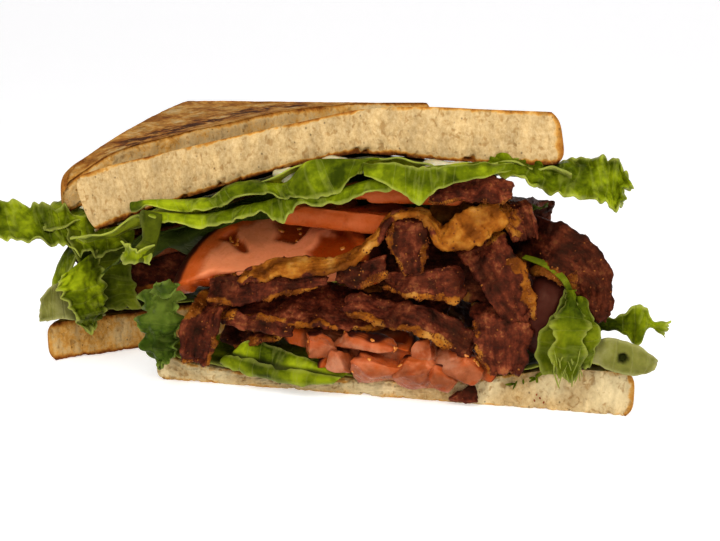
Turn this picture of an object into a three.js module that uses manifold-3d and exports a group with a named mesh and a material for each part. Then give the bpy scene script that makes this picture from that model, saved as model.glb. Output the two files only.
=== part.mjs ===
// BLT sandwich on toasted white bread, cut corner to corner, with its two halves leaning
// open behind each other. Millimetres, +Z up, cut face of the front half towards -Y.

import * as THREE from 'three';
import { mergeVertices } from 'three/addons/utils/BufferGeometryUtils.js';
import Module from 'manifold-3d';

const wasm = await Module();
wasm.setup();

// ---------------------------------------------------------------- driving sizes

const SLICE_SIDE = 119; // a square slice of sandwich bread
const SLICE_THICK = 14.5;
const CRUST_RADIUS = 10; // the slice's rounded corners
const HALF_DIAGONAL = SLICE_SIDE / Math.SQRT2;
const CORNER_CENTRE = HALF_DIAGONAL - CRUST_RADIUS * Math.SQRT2;
const CUT_END = CORNER_CENTRE + CRUST_RADIUS - 0.3; // half the length of the cut face

const LEAF_THICK = 1.0;
const BACON_THICK = 2.4;
const TOMATO_THICK = 7;
const MAYO_THICK = 1.0;
const SAG_DEPTH = 9; // how far in from its cut edge a tomato slice hangs
const FLANK_CRINKLE = 2.2; // waves of the rashers along the crust sides
const STRIP_END = 0.3; // share of a strip's half length that tapers
const STRIP_TAPER = 0.25;
const CLEARANCE = 0.35; // between pieces that touch

const FRONT_TOP_SHIFT = -25; // the front lid has slid to the left
const REAR_TOP_SHIFT = 8;
const FRONT_LID = { height: 95, droop: 27, droopFrom: 30, droopRun: 135, shoulder: 0.004, lean: 0.1 };
const FRONT_BASE = { height: 12.5, dent: 6, dentAt: -6, dentWidth: 36, dentDepth: 25 };
const REAR_LID = { height: 77.86, slope: 0.1375 }; // height at the middle of its cut
const REAR_TURN = THREE.MathUtils.degToRad(44); // of the rear half's cut face
const REAR_PLACE = [-69.5, 65.6, 0]; // middle of the rear half's cut face

const COLOURS = {
  toast: 0xd9bf8c,
  mayo: 0xe4dcc4,
  leaf: 0x7f9a1e,
  darkLeaf: 0x4c6a24,
  paleLeaf: 0xb9c46a,
  tomato: 0xb4553a,
  bacon: 0x5f2f22,
  crispBacon: 0x8a4b22,
};

// ---------------------------------------------------------------- the half slice and its surfaces

const wave = (turns) => Math.sin(2 * Math.PI * turns);

/** Depth of a half slice behind its cut face, at x along the cut. */
function halfDepth(x) {
  const across = Math.abs(x);
  const reach = CRUST_RADIUS / Math.SQRT2;
  if (across < reach) {
    return CORNER_CENTRE + Math.sqrt(CRUST_RADIUS ** 2 - across ** 2);
  }
  if (across > HALF_DIAGONAL - reach) {
    return Math.sqrt(Math.max(0, CRUST_RADIUS ** 2 - (across - CORNER_CENTRE) ** 2));
  }
  return HALF_DIAGONAL - across;
}

/** Point of the half slice's outline for u along the cut and v inwards, both 0 to 1. */
function onHalf(u, v, grow = 0) {
  const x = CUT_END * Math.sin(Math.PI * (u - 0.5));
  const scale = 1 + grow / CUT_END;
  return [x * scale, v * halfDepth(x) * scale - (1 - v) * grow];
}

/** Upper face of the front half's lid, which droops to the left and leans back. */
function frontLid(x, y) {
  const beyond = x - FRONT_LID.droopFrom;
  const droop = FRONT_LID.droop * (Math.max(0, -beyond) / FRONT_LID.droopRun) ** 1.6;
  const shoulder = FRONT_LID.shoulder * Math.max(0, beyond) ** 2;
  return FRONT_LID.height - droop - shoulder - FRONT_LID.lean * y;
}

/** Upper face of the front half's base, pressed down by the filling at the cut. */
function frontBase(x, y) {
  const { height, dent, dentAt, dentWidth, dentDepth } = FRONT_BASE;
  return height - dent * Math.exp(-(((x - dentAt) / dentWidth) ** 2) - Math.max(0, y) / dentDepth);
}

/** Upper face of the rear half's lid, lowest at its left end. */
const rearLid = (x, y) => REAR_LID.height + REAR_LID.slope * (x + y);
const rearBase = () => SLICE_THICK;

const under = (lid) => (x, y) => lid(x, y) - SLICE_THICK;

// ---------------------------------------------------------------- shapes

/** A box of nu by nv cells with each point moved to place(u, v, w), all from 0 to 1. */
function moulded(nu, nv, place) {
  const geometry = new THREE.BoxGeometry(1, 1, 1, nu, nv, 1);
  const lowerFace = geometry.groups[5]; // split like the upper face, so that twisted walls stay parallel
  for (let i = lowerFace.start; i < lowerFace.start + lowerFace.count; i += 6) {
    const [a, b, d, , c] = geometry.index.array.subarray(i, i + 5);
    geometry.index.array.set([a, b, c, a, c, d], i);
  }
  const position = geometry.attributes.position;
  for (let i = 0; i < position.count; i += 1) {
    const point = place(position.getX(i) + 0.5, position.getY(i) + 0.5, position.getZ(i) + 0.5);
    position.setXYZ(i, ...point);
  }
  return geometry;
}

/** A half slice between two height surfaces. */
function breadShape(lower, upper, shift = 0) {
  return moulded(18, 2, (u, v, w) => {
    const [x, y] = onHalf(u, v);
    const [low, high] = [lower(x + shift, y), upper(x + shift, y)];
    return [x + shift, y, THREE.MathUtils.lerp(low, high, w)];
  });
}

/** A spread just under a lid. */
function mayoShape(lid, shift = 0) {
  return moulded(12, 1, (u, v, w) => {
    const [x, y] = onHalf(u, v, -2);
    const top = under(lid)(x + shift, y) - 1.7 * CLEARANCE; // clear of the lid's facets
    return [x + shift, y, top - MAYO_THICK * (1 - w)];
  });
}

/** A leaf lying across the half sandwich at height(x, y), rippled all over. */
function leafLayer(height, { grow = 2, shift = 0, ripple = 1.2, phase = 0 }) {
  return moulded(12, 2, (u, v, w) => {
    const [x, y] = onHalf(u, v, grow);
    const swell = ripple * wave((x + 0.6 * y) / 38 + phase) * wave((y - 0.3 * x) / 52 + phase);
    return [x + shift, y, height(x + shift, y) + swell + LEAF_THICK * (w - 0.5)];
  });
}

/**
 * A strip along a smooth path, for rashers and hanging leaves. across is the way of its
 * width, crinkle is the height of its waves, edge from 0 to 1 moves the waves out to the
 * long edges, cup bends its long edges up. Both ends taper.
 */
function strip(path, options) {
  const { width, across = [0, 1, 0], thick = BACON_THICK, cells = [8, 1] } = options;
  const { crinkle = 1, waves = 2, phase = 0, edge = 0, cup = 0 } = options;
  const curve = new THREE.CatmullRomCurve3(path.map((point) => new THREE.Vector3(...point)));
  return moulded(...cells, (u, v, w) => {
    const centre = curve.getPoint(u);
    const along = curve.getTangent(u);
    const side = new THREE.Vector3(...across);
    side.addScaledVector(along, -side.dot(along)).normalize();
    const out = new THREE.Vector3().crossVectors(along, side);
    const rim = 2 * v - 1;
    const end = Math.max(0, Math.abs(2 * u - 1) - 1 + STRIP_END) / STRIP_END;
    const span = width * (1 - STRIP_TAPER * end ** 2) * (1 + 0.08 * wave(1.7 * u + phase));
    const share = 1 - edge + edge * rim ** 2;
    const ripple = crinkle * share * wave(waves * u + phase + 0.12 * rim);
    const lift = (w - 0.5) * thick + ripple + cup * rim ** 2;
    const point = centre.addScaledVector(side, (rim * span) / 2).addScaledVector(out, lift);
    return point.toArray();
  });
}

/** A leaf's free end: a thin strip whose long edges ruffle. */
function leafStrip(path, options) {
  const ruffled = { thick: LEAF_THICK, edge: 0.8, crinkle: 2, waves: 2.5, cells: [9, 2] };
  return strip(path, { ...ruffled, ...options });
}

/** Half a tomato slice, cut edge towards -Y, upper face at z = 0, its front edge sagging. */
function tomatoShape(radius, thick = TOMATO_THICK, sag = 0) {
  const bevel = 1;
  const outline = new THREE.Shape();
  outline.absarc(0, bevel, radius - bevel, 0, Math.PI, false);
  const geometry = new THREE.ExtrudeGeometry(outline, {
    depth: thick - 2 * bevel,
    curveSegments: 10,
    bevelSize: bevel,
    bevelThickness: bevel,
    bevelSegments: 1,
  });
  geometry.translate(0, 0, bevel - thick);
  const position = geometry.attributes.position;
  for (let i = 0; i < position.count; i += 1) {
    const ahead = Math.max(0, 1 - position.getY(i) / SAG_DEPTH);
    position.setZ(i, position.getZ(i) - sag * ahead ** 2);
  }
  return geometry;
}

// ---------------------------------------------------------------- solids that keep clear of each other

const sandwich = new THREE.Group();
const inPlace = []; // solids already placed, each grown by the clearance

/** The closed solid of a geometry, in the whole's frame. */
function solidOf(geometry) {
  const bare = geometry.clone();
  bare.deleteAttribute('normal');
  bare.deleteAttribute('uv');
  const merged = mergeVertices(bare, 1e-4);
  const vertProperties = new Float32Array(merged.attributes.position.array);
  const triVerts = new Uint32Array(merged.index.array);
  return new wasm.Manifold(new wasm.Mesh({ numProp: 3, vertProperties, triVerts }));
}

function geometryOf(solid) {
  const mesh = solid.getMesh();
  const geometry = new THREE.BufferGeometry();
  geometry.setAttribute('position', new THREE.BufferAttribute(mesh.vertProperties, 3));
  geometry.setIndex(new THREE.BufferAttribute(mesh.triVerts, 1));
  geometry.computeVertexNormals();
  return geometry;
}

/** The same shape with each face moved outwards by the clearance. */
function grown(geometry) {
  const larger = mergeVertices(geometry, 1e-4);
  const { position } = larger.attributes;
  const corners = Array.from({ length: position.count }, () => []);
  const triangle = new THREE.Triangle();
  for (let i = 0; i < larger.index.count; i += 3) {
    const ids = [0, 1, 2].map((k) => larger.index.getX(i + k));
    triangle.setFromAttributeAndIndices(position, ...ids);
    const normal = triangle.getNormal(new THREE.Vector3());
    ids.forEach((id) => corners[id].push(normal));
  }
  corners.forEach((normals, i) => {
    const away = normals.reduce((sum, normal) => sum.add(normal), new THREE.Vector3()).normalize();
    const share = Math.max(0.4, Math.min(...normals.map((normal) => normal.dot(away))));
    const point = new THREE.Vector3().fromBufferAttribute(position, i);
    position.setXYZ(i, ...point.addScaledVector(away, CLEARANCE / share));
  });
  return solidOf(larger);
}

const apart = (a, b) => [0, 1, 2].some((i) => a.min[i] > b.max[i] || b.min[i] > a.max[i]);

/** Adds a piece, less what its neighbours already fill, as one body. */
function add(half, name, colour, geometry, place = [0, 0, 0], turn = [0, 0, 0]) {
  const material = new THREE.MeshStandardMaterial({ color: COLOURS[colour], roughness: 0.6, metalness: 0 });
  const mesh = new THREE.Mesh(geometry, material);
  mesh.name = name;
  mesh.position.set(...place);
  mesh.rotation.set(...turn.map(THREE.MathUtils.degToRad), 'ZYX');
  half.add(mesh);
  mesh.updateWorldMatrix(true, false);
  let solid = solidOf(geometry.clone().applyMatrix4(mesh.matrixWorld));
  for (const neighbour of inPlace) {
    if (!apart(neighbour.boundingBox(), solid.boundingBox())) {
      solid = solid.subtract(neighbour);
    }
  }
  const body = solid.decompose().sort((a, b) => b.volume() - a.volume())[0];
  const whole = geometryOf(body);
  inPlace.push(grown(whole).add(body));
  mesh.geometry = whole.applyMatrix4(mesh.matrixWorld.clone().invert());
}

// ---------------------------------------------------------------- the front half

const front = new THREE.Group();
sandwich.add(front);

function addFrontBread() {
  add(front, 'front_bread_bottom', 'toast', breadShape(() => 0, frontBase));
  add(front, 'front_bread_top', 'toast', breadShape(under(frontLid), frontLid, FRONT_TOP_SHIFT));
  add(front, 'front_mayo', 'mayo', mayoShape(frontLid, FRONT_TOP_SHIFT));
}

function addFrontTomatoes() {
  add(front, 'front_tomato_1', 'tomato', tomatoShape(37), [-34, 1, 41], [24, -6, 0]);
  add(front, 'front_tomato_2', 'tomato', tomatoShape(28), [-8, 2, 56.5], [8, -4, 0]);
  add(front, 'front_tomato_3', 'tomato', tomatoShape(24, 5), [5, 2, 67.5], [0, 0, 0]);
  add(front, 'front_tomato_4', 'tomato', tomatoShape(27, 6, 4), [5, -6, 16.5], [6, -3, 3]);
  add(front, 'front_tomato_5', 'tomato', tomatoShape(23, 6, 3), [-13, -5, 23.4], [6, -2, -4]);
  add(front, 'front_tomato_6', 'tomato', tomatoShape(12, 6, 2), [25, -4, 25], [4, 6, 0]);
  add(front, 'front_tomato_7', 'tomato', tomatoShape(16), [53, 4, 30], [10, 78, 0]);
}

/** The long rasher that waves across the face, and those that cross it or hang out of it. */
function addFrontBacon() {
  const lying = [0, 0.75, 0.65];
  const hanging = [1, 0.2, 0];
  const alongRight = { width: 26, across: [1, 1, 0], crinkle: FLANK_CRINKLE };
  const alongLeft = { width: 26, across: [-1, 1, 0], crinkle: FLANK_CRINKLE };
  const rashers = [
    {
      path: [
        [-47, -5, 36], [-37, -5, 40], [-16, -4, 41], [-2, -2, 47],
        [9, 0, 58], [19, 0, 50], [29, 1, 51], [39, 2, 57],
      ],
      width: 11, across: [0, 1, -0.4], cells: [16, 1], crinkle: 0.5, colour: 'crispBacon',
    },
    {
      path: [[38, 46, 50], [42, 22, 52], [50, 6, 50], [58, -2, 44], [61, -5, 30]],
      width: 25, across: hanging,
    },
    {
      path: [[20, 46, 57], [24, 24, 56], [33, 4, 46], [39, -6, 36], [41, -6, 27]],
      width: 18, across: hanging,
    },
    {
      path: [[34, 30, 28], [36, 14, 28], [37, -3, 25], [38, -7, 16], [38, -8, 7]],
      width: 20, across: hanging,
    },
    { path: [[6, -5, 55], [9, -6, 50], [12, -8, 42]], width: 13, across: hanging, cells: [5, 1] },
    { path: [[-54, 24, 29], [-60, 10, 29], [-64, -3, 24], [-65, -6, 10]], width: 15, across: hanging },
    { path: [[-58, -2, 29], [-45, -4, 32], [-30, -4, 33], [-16, -3, 32]], width: 12, across: [0, 0.3, 0.95] },
    { path: [[-10, -7, 39], [-2, -7, 40], [6, -6, 41]], width: 9, across: [0, 1, 0.6], cells: [5, 1] },
    { path: [[13, -3, 67], [25, -4, 68], [38, -2, 67]], width: 11, across: [0, 0.3, 0.95] },
    { path: [[38, 32, 64], [41, 10, 64], [44, 0, 60], [47, -1, 54]], width: 15, across: hanging },
    { path: [[3, -2, 36], [12, -3, 36], [25, -2, 33]], width: 9, across: lying },
    { path: [[-10, -2, 31], [3, -3, 30], [19, -2, 27]], width: 8, across: lying },
    { path: [[-42, 11, 27], [-22, 9, 28], [0, 10, 29], [20, 12, 30]], width: 16, across: [0, 0.95, 0.2] },
    { path: [[-52, -3, 22], [-36, -5, 23], [-16, -4, 25]], width: 6, across: [0, 0.7, 0.7] },
    { path: [[-56, 8, 18], [-44, 6, 20], [-34, 8, 26]], width: 12, across: [0, 0.85, 0.3] },
    { path: [[54, 14, 18], [36, 32, 21], [18, 48, 22], [4, 60, 23]], ...alongRight },
    { path: [[-44, 26, 35], [-30, 38, 37], [-16, 50, 39], [-4, 62, 40]], ...alongLeft },
    { path: [[52, 16, 36], [36, 32, 38], [18, 48, 34], [0, 58, 30]], ...alongRight },
    { path: [[-6, 16, 43], [10, 14, 44], [24, 12, 42]], width: 18, across: lying },
  ];
  rashers.forEach(({ path, colour = 'bacon', ...options }, i) => {
    add(front, `front_bacon_${i + 1}`, colour, strip(path, { phase: 0.37 * i, ...options }));
  });
  const scrap = strip([[23, -3, 2.5], [28, -4, 2], [33, -3, 3]], { width: 5, thick: 1.6, cells: [4, 1] });
  add(front, 'front_bacon_scrap', 'bacon', scrap);
}

function addFrontLettuce() {
  const lid = under(frontLid);
  const base = (x, y) => frontBase(x, y) + 1.6;
  const shift = FRONT_TOP_SHIFT;
  const leaves = {
    top: leafLayer((x, y) => lid(x, y) - 3.3, { shift, grow: 3, phase: 0.1 }),
    second: leafLayer((x, y) => lid(x, y) - 7.5 - 0.05 * y, { shift: shift - 6, grow: 1, phase: 0.45 }),
    fold: leafStrip([[-84, -6, 60], [-60, -7, 61], [-26, -7, 69], [-8, -7, 72], [14, -7, 75]], {
      width: 10, across: [0, 0.5, 0.9], crinkle: 1.5, waves: 3, cells: [14, 1], phase: 0.2,
    }),
    flap: leafStrip([[-84, -9, 56], [-85, -11, 51], [-86, -10, 46], [-86, -8, 41]], {
      width: 14, across: [1, 0.3, 0],
    }),
    frill: leafStrip([[50, 6, 70], [58, 5, 72], [66, 3, 72], [72, 1, 70], [76, -1, 65]], {
      width: 20, across: [0, 0.8, 0.6], crinkle: 2.6,
    }),
    bottom: leafLayer(base, { grow: 0, ripple: 0.6 }),
    bottom_fold: leafStrip([[-55, -4, 12], [-42, -5, 13], [-28, -8, 12], [-15, -10, 9]], {
      width: 11, across: [0, 0.4, 0.9], crinkle: 1,
    }),
    corner: leafStrip([[-74, -6, 35], [-76, -8, 28], [-77, -8, 18], [-75, -7, 8]], {
      width: 15, across: [1, 0.2, 0.1], phase: 0.3,
    }),
    cup: leafStrip([[62, 6, 38], [58, -4, 33], [57, -7, 22], [58, -6, 12]], {
      width: 16, across: [1, 0.2, 0], cup: 2.5, phase: 0.6,
    }),
    rib: leafStrip([[62, -5, 20], [70, -5, 22], [78, -5, 21], [85, -4, 17]], {
      width: 13, across: [0, 0.7, 0.7], crinkle: 0.8, phase: 0.5,
    }),
    tip: leafStrip([[64, 10, 26], [72, 7, 27], [81, 4, 27], [89, 2, 25]], {
      width: 13, across: [0.1, 0.8, 0.6], crinkle: 1.4, phase: 0.1,
    }),
  };
  for (const [name, shape] of Object.entries(leaves)) {
    add(front, `front_lettuce_${name}`, ['corner', 'tip'].includes(name) ? 'darkLeaf' : 'leaf', shape);
  }
}

// ---------------------------------------------------------------- the rear half

const rear = new THREE.Group();
rear.position.set(...REAR_PLACE);
rear.rotation.z = REAR_TURN;
sandwich.add(rear);

function addRearBread() {
  add(rear, 'rear_bread_bottom', 'toast', breadShape(() => 0, rearBase));
  add(rear, 'rear_bread_top', 'toast', breadShape(under(rearLid), rearLid, REAR_TOP_SHIFT));
  add(rear, 'rear_mayo', 'mayo', mayoShape(rearLid, REAR_TOP_SHIFT));
}

function addRearTomatoes() {
  add(rear, 'rear_tomato_1', 'tomato', tomatoShape(35), [-28, 1, 42], [10, -6, 0]);
  add(rear, 'rear_tomato_2', 'tomato', tomatoShape(33), [38, 1, 54], [6, -6, 0]);
}

function addRearBacon() {
  const alongRight = { across: [1, 1, 0], crinkle: FLANK_CRINKLE };
  const rashers = [
    { path: [[-66, 8, 26], [-40, 6, 24], [-12, 8, 26], [16, 7, 30], [42, 9, 32]], cells: [12, 1] },
    { path: [[-50, 14, 20], [-36, 28, 21], [-20, 42, 21], [-4, 58, 21]], across: [-1, 1, 0], crinkle: 1.6 },
    { path: [[-62, 3, 31], [-40, 0, 31], [-14, 2, 32]], width: 14 },
    { path: [[54, 14, 38], [38, 30, 38], [20, 46, 37], [4, 58, 36]], ...alongRight },
    { path: [[-30, 38, 32], [-12, 44, 30], [10, 40, 30], [26, 30, 30]] },
    { path: [[58, 10, 22], [42, 26, 22], [24, 42, 22], [6, 56, 24]], ...alongRight },
  ];
  rashers.forEach(({ path, ...options }, i) => {
    add(rear, `rear_bacon_${i + 1}`, 'bacon', strip(path, { width: 24, phase: 0.29 * i, ...options }));
  });
}

function addRearLettuce() {
  const lid = under(rearLid);
  const leaves = {
    top: leafLayer((x, y) => lid(x, y) - 3.3, { shift: REAR_TOP_SHIFT - 4, grow: 3, phase: 0.3 }),
    second: leafLayer((x, y) => lid(x, y) - 9, { shift: 4, grow: 1, ripple: 2.4, phase: 0.6 }),
    tongue: leafStrip([[-82, 7, 50], [-91, 10, 50], [-101, 13, 49], [-112, 16, 52]], {
      width: 22, across: [0, 0.85, 0.5], crinkle: 2.6, phase: 0.2,
    }),
    curl: leafStrip([[-64, -6, 46], [-62, -9, 38], [-60, -9, 26], [-58, -8, 12]], {
      width: 19, across: [1, 0.2, 0], crinkle: 3,
    }),
    rib: leafStrip([[-60, -4, 17], [-69, -5, 19], [-79, -5, 22]], {
      width: 12, across: [0, 0.5, 0.8], crinkle: 0.6,
    }),
    bottom: leafLayer((x, y) => rearBase(x, y) + 2, { grow: 0, ripple: 0.8, phase: 0.2 }),
  };
  for (const [name, shape] of Object.entries(leaves)) {
    add(rear, `rear_lettuce_${name}`, name === 'rib' ? 'paleLeaf' : 'leaf', shape);
  }
}

// ---------------------------------------------------------------- the whole

addFrontBread();
addFrontTomatoes();
addFrontBacon();
addFrontLettuce();
addRearBread();
addRearTomatoes();
addRearBacon();
addRearLettuce();

const box = new THREE.Box3().setFromObject(sandwich, true);
const middle = box.getCenter(new THREE.Vector3());
sandwich.position.set(-middle.x, -middle.y, -box.min.z);

export default sandwich;
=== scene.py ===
# %% [markdown]
# # A bacon, lettuce and tomato sandwich
# The sandwich is two slices of toasted white bread round a thick filling, cut corner to
# corner. One half stands in front with its cut face towards us and the other stands behind
# it, turned away. The CAD model gives every slice, rasher, leaf and tomato slice its place.
# Here each of them gets the shape and the finish that make it look good to eat.

# %% Load the frame
import math
from types import SimpleNamespace

import bmesh
import bpy
import numpy as np
from mathutils import Matrix, Vector, noise


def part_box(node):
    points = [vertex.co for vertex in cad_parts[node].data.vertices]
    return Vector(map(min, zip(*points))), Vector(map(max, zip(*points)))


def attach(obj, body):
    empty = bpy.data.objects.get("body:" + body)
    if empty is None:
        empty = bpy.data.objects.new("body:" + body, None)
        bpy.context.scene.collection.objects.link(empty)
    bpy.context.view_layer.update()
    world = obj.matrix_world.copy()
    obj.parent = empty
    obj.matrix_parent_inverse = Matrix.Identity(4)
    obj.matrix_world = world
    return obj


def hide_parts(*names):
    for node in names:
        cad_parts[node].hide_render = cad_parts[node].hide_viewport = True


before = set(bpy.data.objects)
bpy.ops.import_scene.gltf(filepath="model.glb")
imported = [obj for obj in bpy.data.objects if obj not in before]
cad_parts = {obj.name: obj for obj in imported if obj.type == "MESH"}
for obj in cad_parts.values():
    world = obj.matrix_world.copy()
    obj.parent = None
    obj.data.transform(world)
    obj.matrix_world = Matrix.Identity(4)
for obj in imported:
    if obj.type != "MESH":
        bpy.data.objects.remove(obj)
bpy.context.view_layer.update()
bpy.ops.object.select_all(action="DESELECT")
print(len(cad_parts), "CAD nodes in a box from and to, in metres:")

# %% [markdown]
# Food is easier to think about in millimetres, so each piece is modelled in the axes of its
# own half: x runs along the cut face from its middle, y goes in from the cut, z is height
# above the table. A matrix for each half then carries the finished mesh to its real place.

# %% The two halves' own axes
MM = 0.001
base_low, base_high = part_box("front_bread_bottom")
front_middle = Vector(((base_low.x + base_high.x) / 2, base_low.y, base_low.z))
REAR_STEP = Vector((-69.5, 65.6, 0)) * MM
REAR_TURN = math.radians(44)
FRONT = Matrix.Translation(front_middle) @ Matrix.Scale(MM, 4)
REAR = Matrix.Translation(front_middle + REAR_STEP) @ Matrix.Rotation(REAR_TURN, 4, "Z")
REAR = REAR @ Matrix.Scale(MM, 4)
print("middle of the front cut:", tuple(round(c, 4) for c in front_middle))

# %% [markdown]
# Hardly a line on food is straight. Most of them are given here by the few points that they
# pass through, and a Catmull-Rom curve, which needs no handles, joins the points smoothly.

# %% Smooth lines
def through(path, t):
    """Points of a smooth line through path, for t from 0 to 1."""
    points = np.array(path, float)
    points = np.vstack([2 * points[0] - points[1], points, 2 * points[-1] - points[-2]])
    place = np.clip(t, 0, 1) * (len(points) - 3)
    first = np.minimum(place.astype(int), len(points) - 4)
    share = (place - first)[:, None]
    a, b, c, d = points[first], points[first + 1], points[first + 2], points[first + 3]
    bend = 2 * a - 5 * b + 4 * c - d + share * (3 * b - a - 3 * c + d)
    return b + 0.5 * share * (c - a + share * bend)


def line_at(x, line, axis):
    """Coordinate number axis of a smooth line where it passes x."""
    dense = through(line, np.linspace(0, 1, 400))
    return np.interp(x, dense[:, 0], dense[:, axis])


print("smooth lines are ready")

# %% [markdown]
# A slice of sandwich bread is about 119 mm square and 14.5 mm thick, with rounded corners.
# The filling bends it: the front lid droops to the left, the front base is pressed thin, and
# the rear lid's cut edge is lifted. Each line below gives heights along a cut, as (x, height),
# and each function carries such a line in from the cut. A lattice could bend the slices too,
# but leaves and mayonnaise follow the same faces, and a function can be asked for a height.

# %% A slice's size and the slices' faces, in millimetres
SLICE_SIDE = 119
SLICE_THICK = 14.5
CRUST_RADIUS = 10
HALF_DIAGONAL = SLICE_SIDE / math.sqrt(2)
CUT_END = HALF_DIAGONAL - CRUST_RADIUS * math.sqrt(2) + CRUST_RADIUS
FRONT_TOP_SHIFT, REAR_TOP_SHIFT = -25, 8
LID_LEAN = 0.1
PRESSED_BASE, PRESSED_DEPTH = SLICE_THICK - 2, 45
REAR_HEIGHT, REAR_SLOPE, REAR_TIP_DROP, REAR_SWELL = 77.86, 0.1375, 6.5, 3.2
LID_TOP = [(-107, 69), (-86, 75.7), (-61, 82), (-27, 89.6), (-8, 93.6), (10, 94.8), (33, 94.2), (56, 93.6)]
LID_UNDER = [
    (-107, 51), (-94, 55), (-80, 60.1), (-62, 65.4), (-45, 71), (-27, 76), (-8, 79.6), (15, 78.4),
    (42, 77.5), (56, 78),
]
BASE_EDGE = [
    (-84, 10.5), (-76, 9), (-68, 6), (-54, 4.6), (-30, 4.6), (-4, 5.2), (16, 6.4), (30, 8.4),
    (45, 11.5), (60, 14), (84, 14.5),
]
REAR_EDGE = [
    (-78, 60.5), (-70, 64.5), (-62, 69.8), (-50, 76.2), (-26, 81.6), (-6, 85), (18, 89), (50, 91),
    (92, 90.5),
]


def front_lid(x, y):
    """Upper face of the front half's lid, which droops to the left and leans back."""
    return line_at(x, LID_TOP, 1) - LID_LEAN * y


def under_front_lid(x, y):
    """Lower face of the front half's lid."""
    return line_at(x, LID_UNDER, 1) - LID_LEAN * y


def front_base(x, y):
    """Upper face of the front half's base, pressed thin where the filling lies on it."""
    pressed = line_at(x, BASE_EDGE, 1)
    return pressed + (PRESSED_BASE - pressed) * np.clip(y / PRESSED_DEPTH, 0, 1) ** 0.7


def rear_lid(x, y):
    """
    Upper face of the rear half's lid: a plane that swells to the left, its cut edge lifted,
    its left tip bent down.
    """
    plane = REAR_HEIGHT + REAR_SLOPE * (x + y) - REAR_TIP_DROP * np.clip((-64 - x) / 16, 0, 1) ** 2
    plane = plane + REAR_SWELL * np.sin(math.pi * np.clip((x + 80) / 92, 0, 1)) ** 0.8
    to_crust = HALF_DIAGONAL - np.minimum(np.abs(x - REAR_TOP_SHIFT), HALF_DIAGONAL - 5)
    inwards = np.clip(y / to_crust, 0, 1)
    return line_at(x, REAR_EDGE, 1) * (1 - inwards) + plane * inwards


def under_rear_lid(x, y):
    """Lower face of the rear half's lid, which is thinner at its left tip."""
    return rear_lid(x, y) - SLICE_THICK + 7.5 * np.clip((-58 - x) / 20, 0, 1)


def on_table(x, y):
    """Lower face of a base."""
    return 0 * x


def slice_top(x, y):
    """Upper face of the rear half's base, which isn't pressed."""
    return SLICE_THICK + 0 * x


print("cut face length:", round(2 * CUT_END, 1), "mm")

# %% [markdown]
# A camera stands at the height of somebody who is about to eat: a little to the right of the
# cut face and a little above it. It comes early so that every piece can be judged from it.

# %% Camera
TARGET = Vector((-7.4, 0, 42.3))
AZIMUTH, ELEVATION, DISTANCE = math.radians(13.5), math.radians(12), 322
level = math.cos(ELEVATION)
back = Vector((math.sin(AZIMUTH) * level, -math.cos(AZIMUTH) * level, math.sin(ELEVATION)))
bpy.ops.object.camera_add(location=FRONT @ (TARGET + back * DISTANCE))
camera = bpy.context.object
camera.rotation_mode = "QUATERNION"
camera.rotation_quaternion = back.to_track_quat("Z", "Y")
camera.data.lens, camera.data.sensor_width = 50, 36
camera.data.clip_start = 0.01
bpy.context.scene.camera = camera
print("camera at", tuple(round(c, 3) for c in camera.location))

# %% [markdown]
# Colours are picked as sRGB hex values, but shaders work in linear light, so one function
# turns the first into the second. Another adds any shader node with its settings and links,
# and a third starts a material. Each finish further down is then a list of its nodes.

# %% Colours, nodes and materials
def srgb(hex_colour):
    """A hex colour as the linear values that shaders work in, and an alpha of 1."""
    shares = [int(hex_colour[i : i + 2], 16) / 255 for i in (1, 3, 5)]
    return tuple(c / 12.92 if c <= 0.04045 else ((c + 0.055) / 1.055) ** 2.4 for c in shares) + (1.0,)


def node(tree, kind, links=None, stops=None, **settings):
    """Adds a shader node. Values of links are sockets to join or constants to set."""
    made = tree.nodes.new(kind)
    for name, value in settings.items():
        setattr(made, name, value)
    for name, value in (links or {}).items():
        if isinstance(value, bpy.types.NodeSocket):
            tree.links.new(value, made.inputs[name])
        else:
            made.inputs[name].default_value = value
    if stops:
        band = made.color_ramp.elements
        while len(band) < len(stops):
            band.new(0.5)
        for stop, (place, hex_colour) in zip(band, stops):
            stop.position, stop.color = place, srgb(hex_colour)
    return made


def new_material(name):
    """An empty material, its node tree, and its Principled shader."""
    material = bpy.data.materials.new(name)
    material.use_nodes = True
    return material, material.node_tree, material.node_tree.nodes["Principled BSDF"]


print("a crumb colour in linear light:", tuple(round(c, 3) for c in srgb("#C6AC80")))

# %% [markdown]
# The table is a plain pale sheet that sweeps up behind the sandwich, as a paper backdrop
# does, so that no horizon shows: a plane whose far edge is pulled up and then bevelled. It
# gives off a little light of its own, which keeps it near white all over.

# %% The table
PAPER_GRAIN = 900.0  # in cells to the sheet's width, cells of about 7 mm
SHEET_SIDE, SHEET_RISE, SWEEP_RADIUS = 6, 3, 1.5
BELOW_THE_FOOD = 0.0002
paper, tree, shader = new_material("painted_white_table")
grain = node(tree, "ShaderNodeTexNoise", {"Scale": PAPER_GRAIN, "Detail": 3.0})
tint = node(
    tree, "ShaderNodeValToRGB", {"Fac": grain.outputs["Fac"]}, stops=[(0.3, "#EBEAE8"), (0.7, "#EFEEED")]
)
tree.links.new(tint.outputs["Color"], shader.inputs["Base Color"])
shader.inputs["Roughness"].default_value = 0.7
shader.inputs["Emission Color"].default_value = srgb("#FFFFFF")
shader.inputs["Emission Strength"].default_value = 0.35

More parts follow.
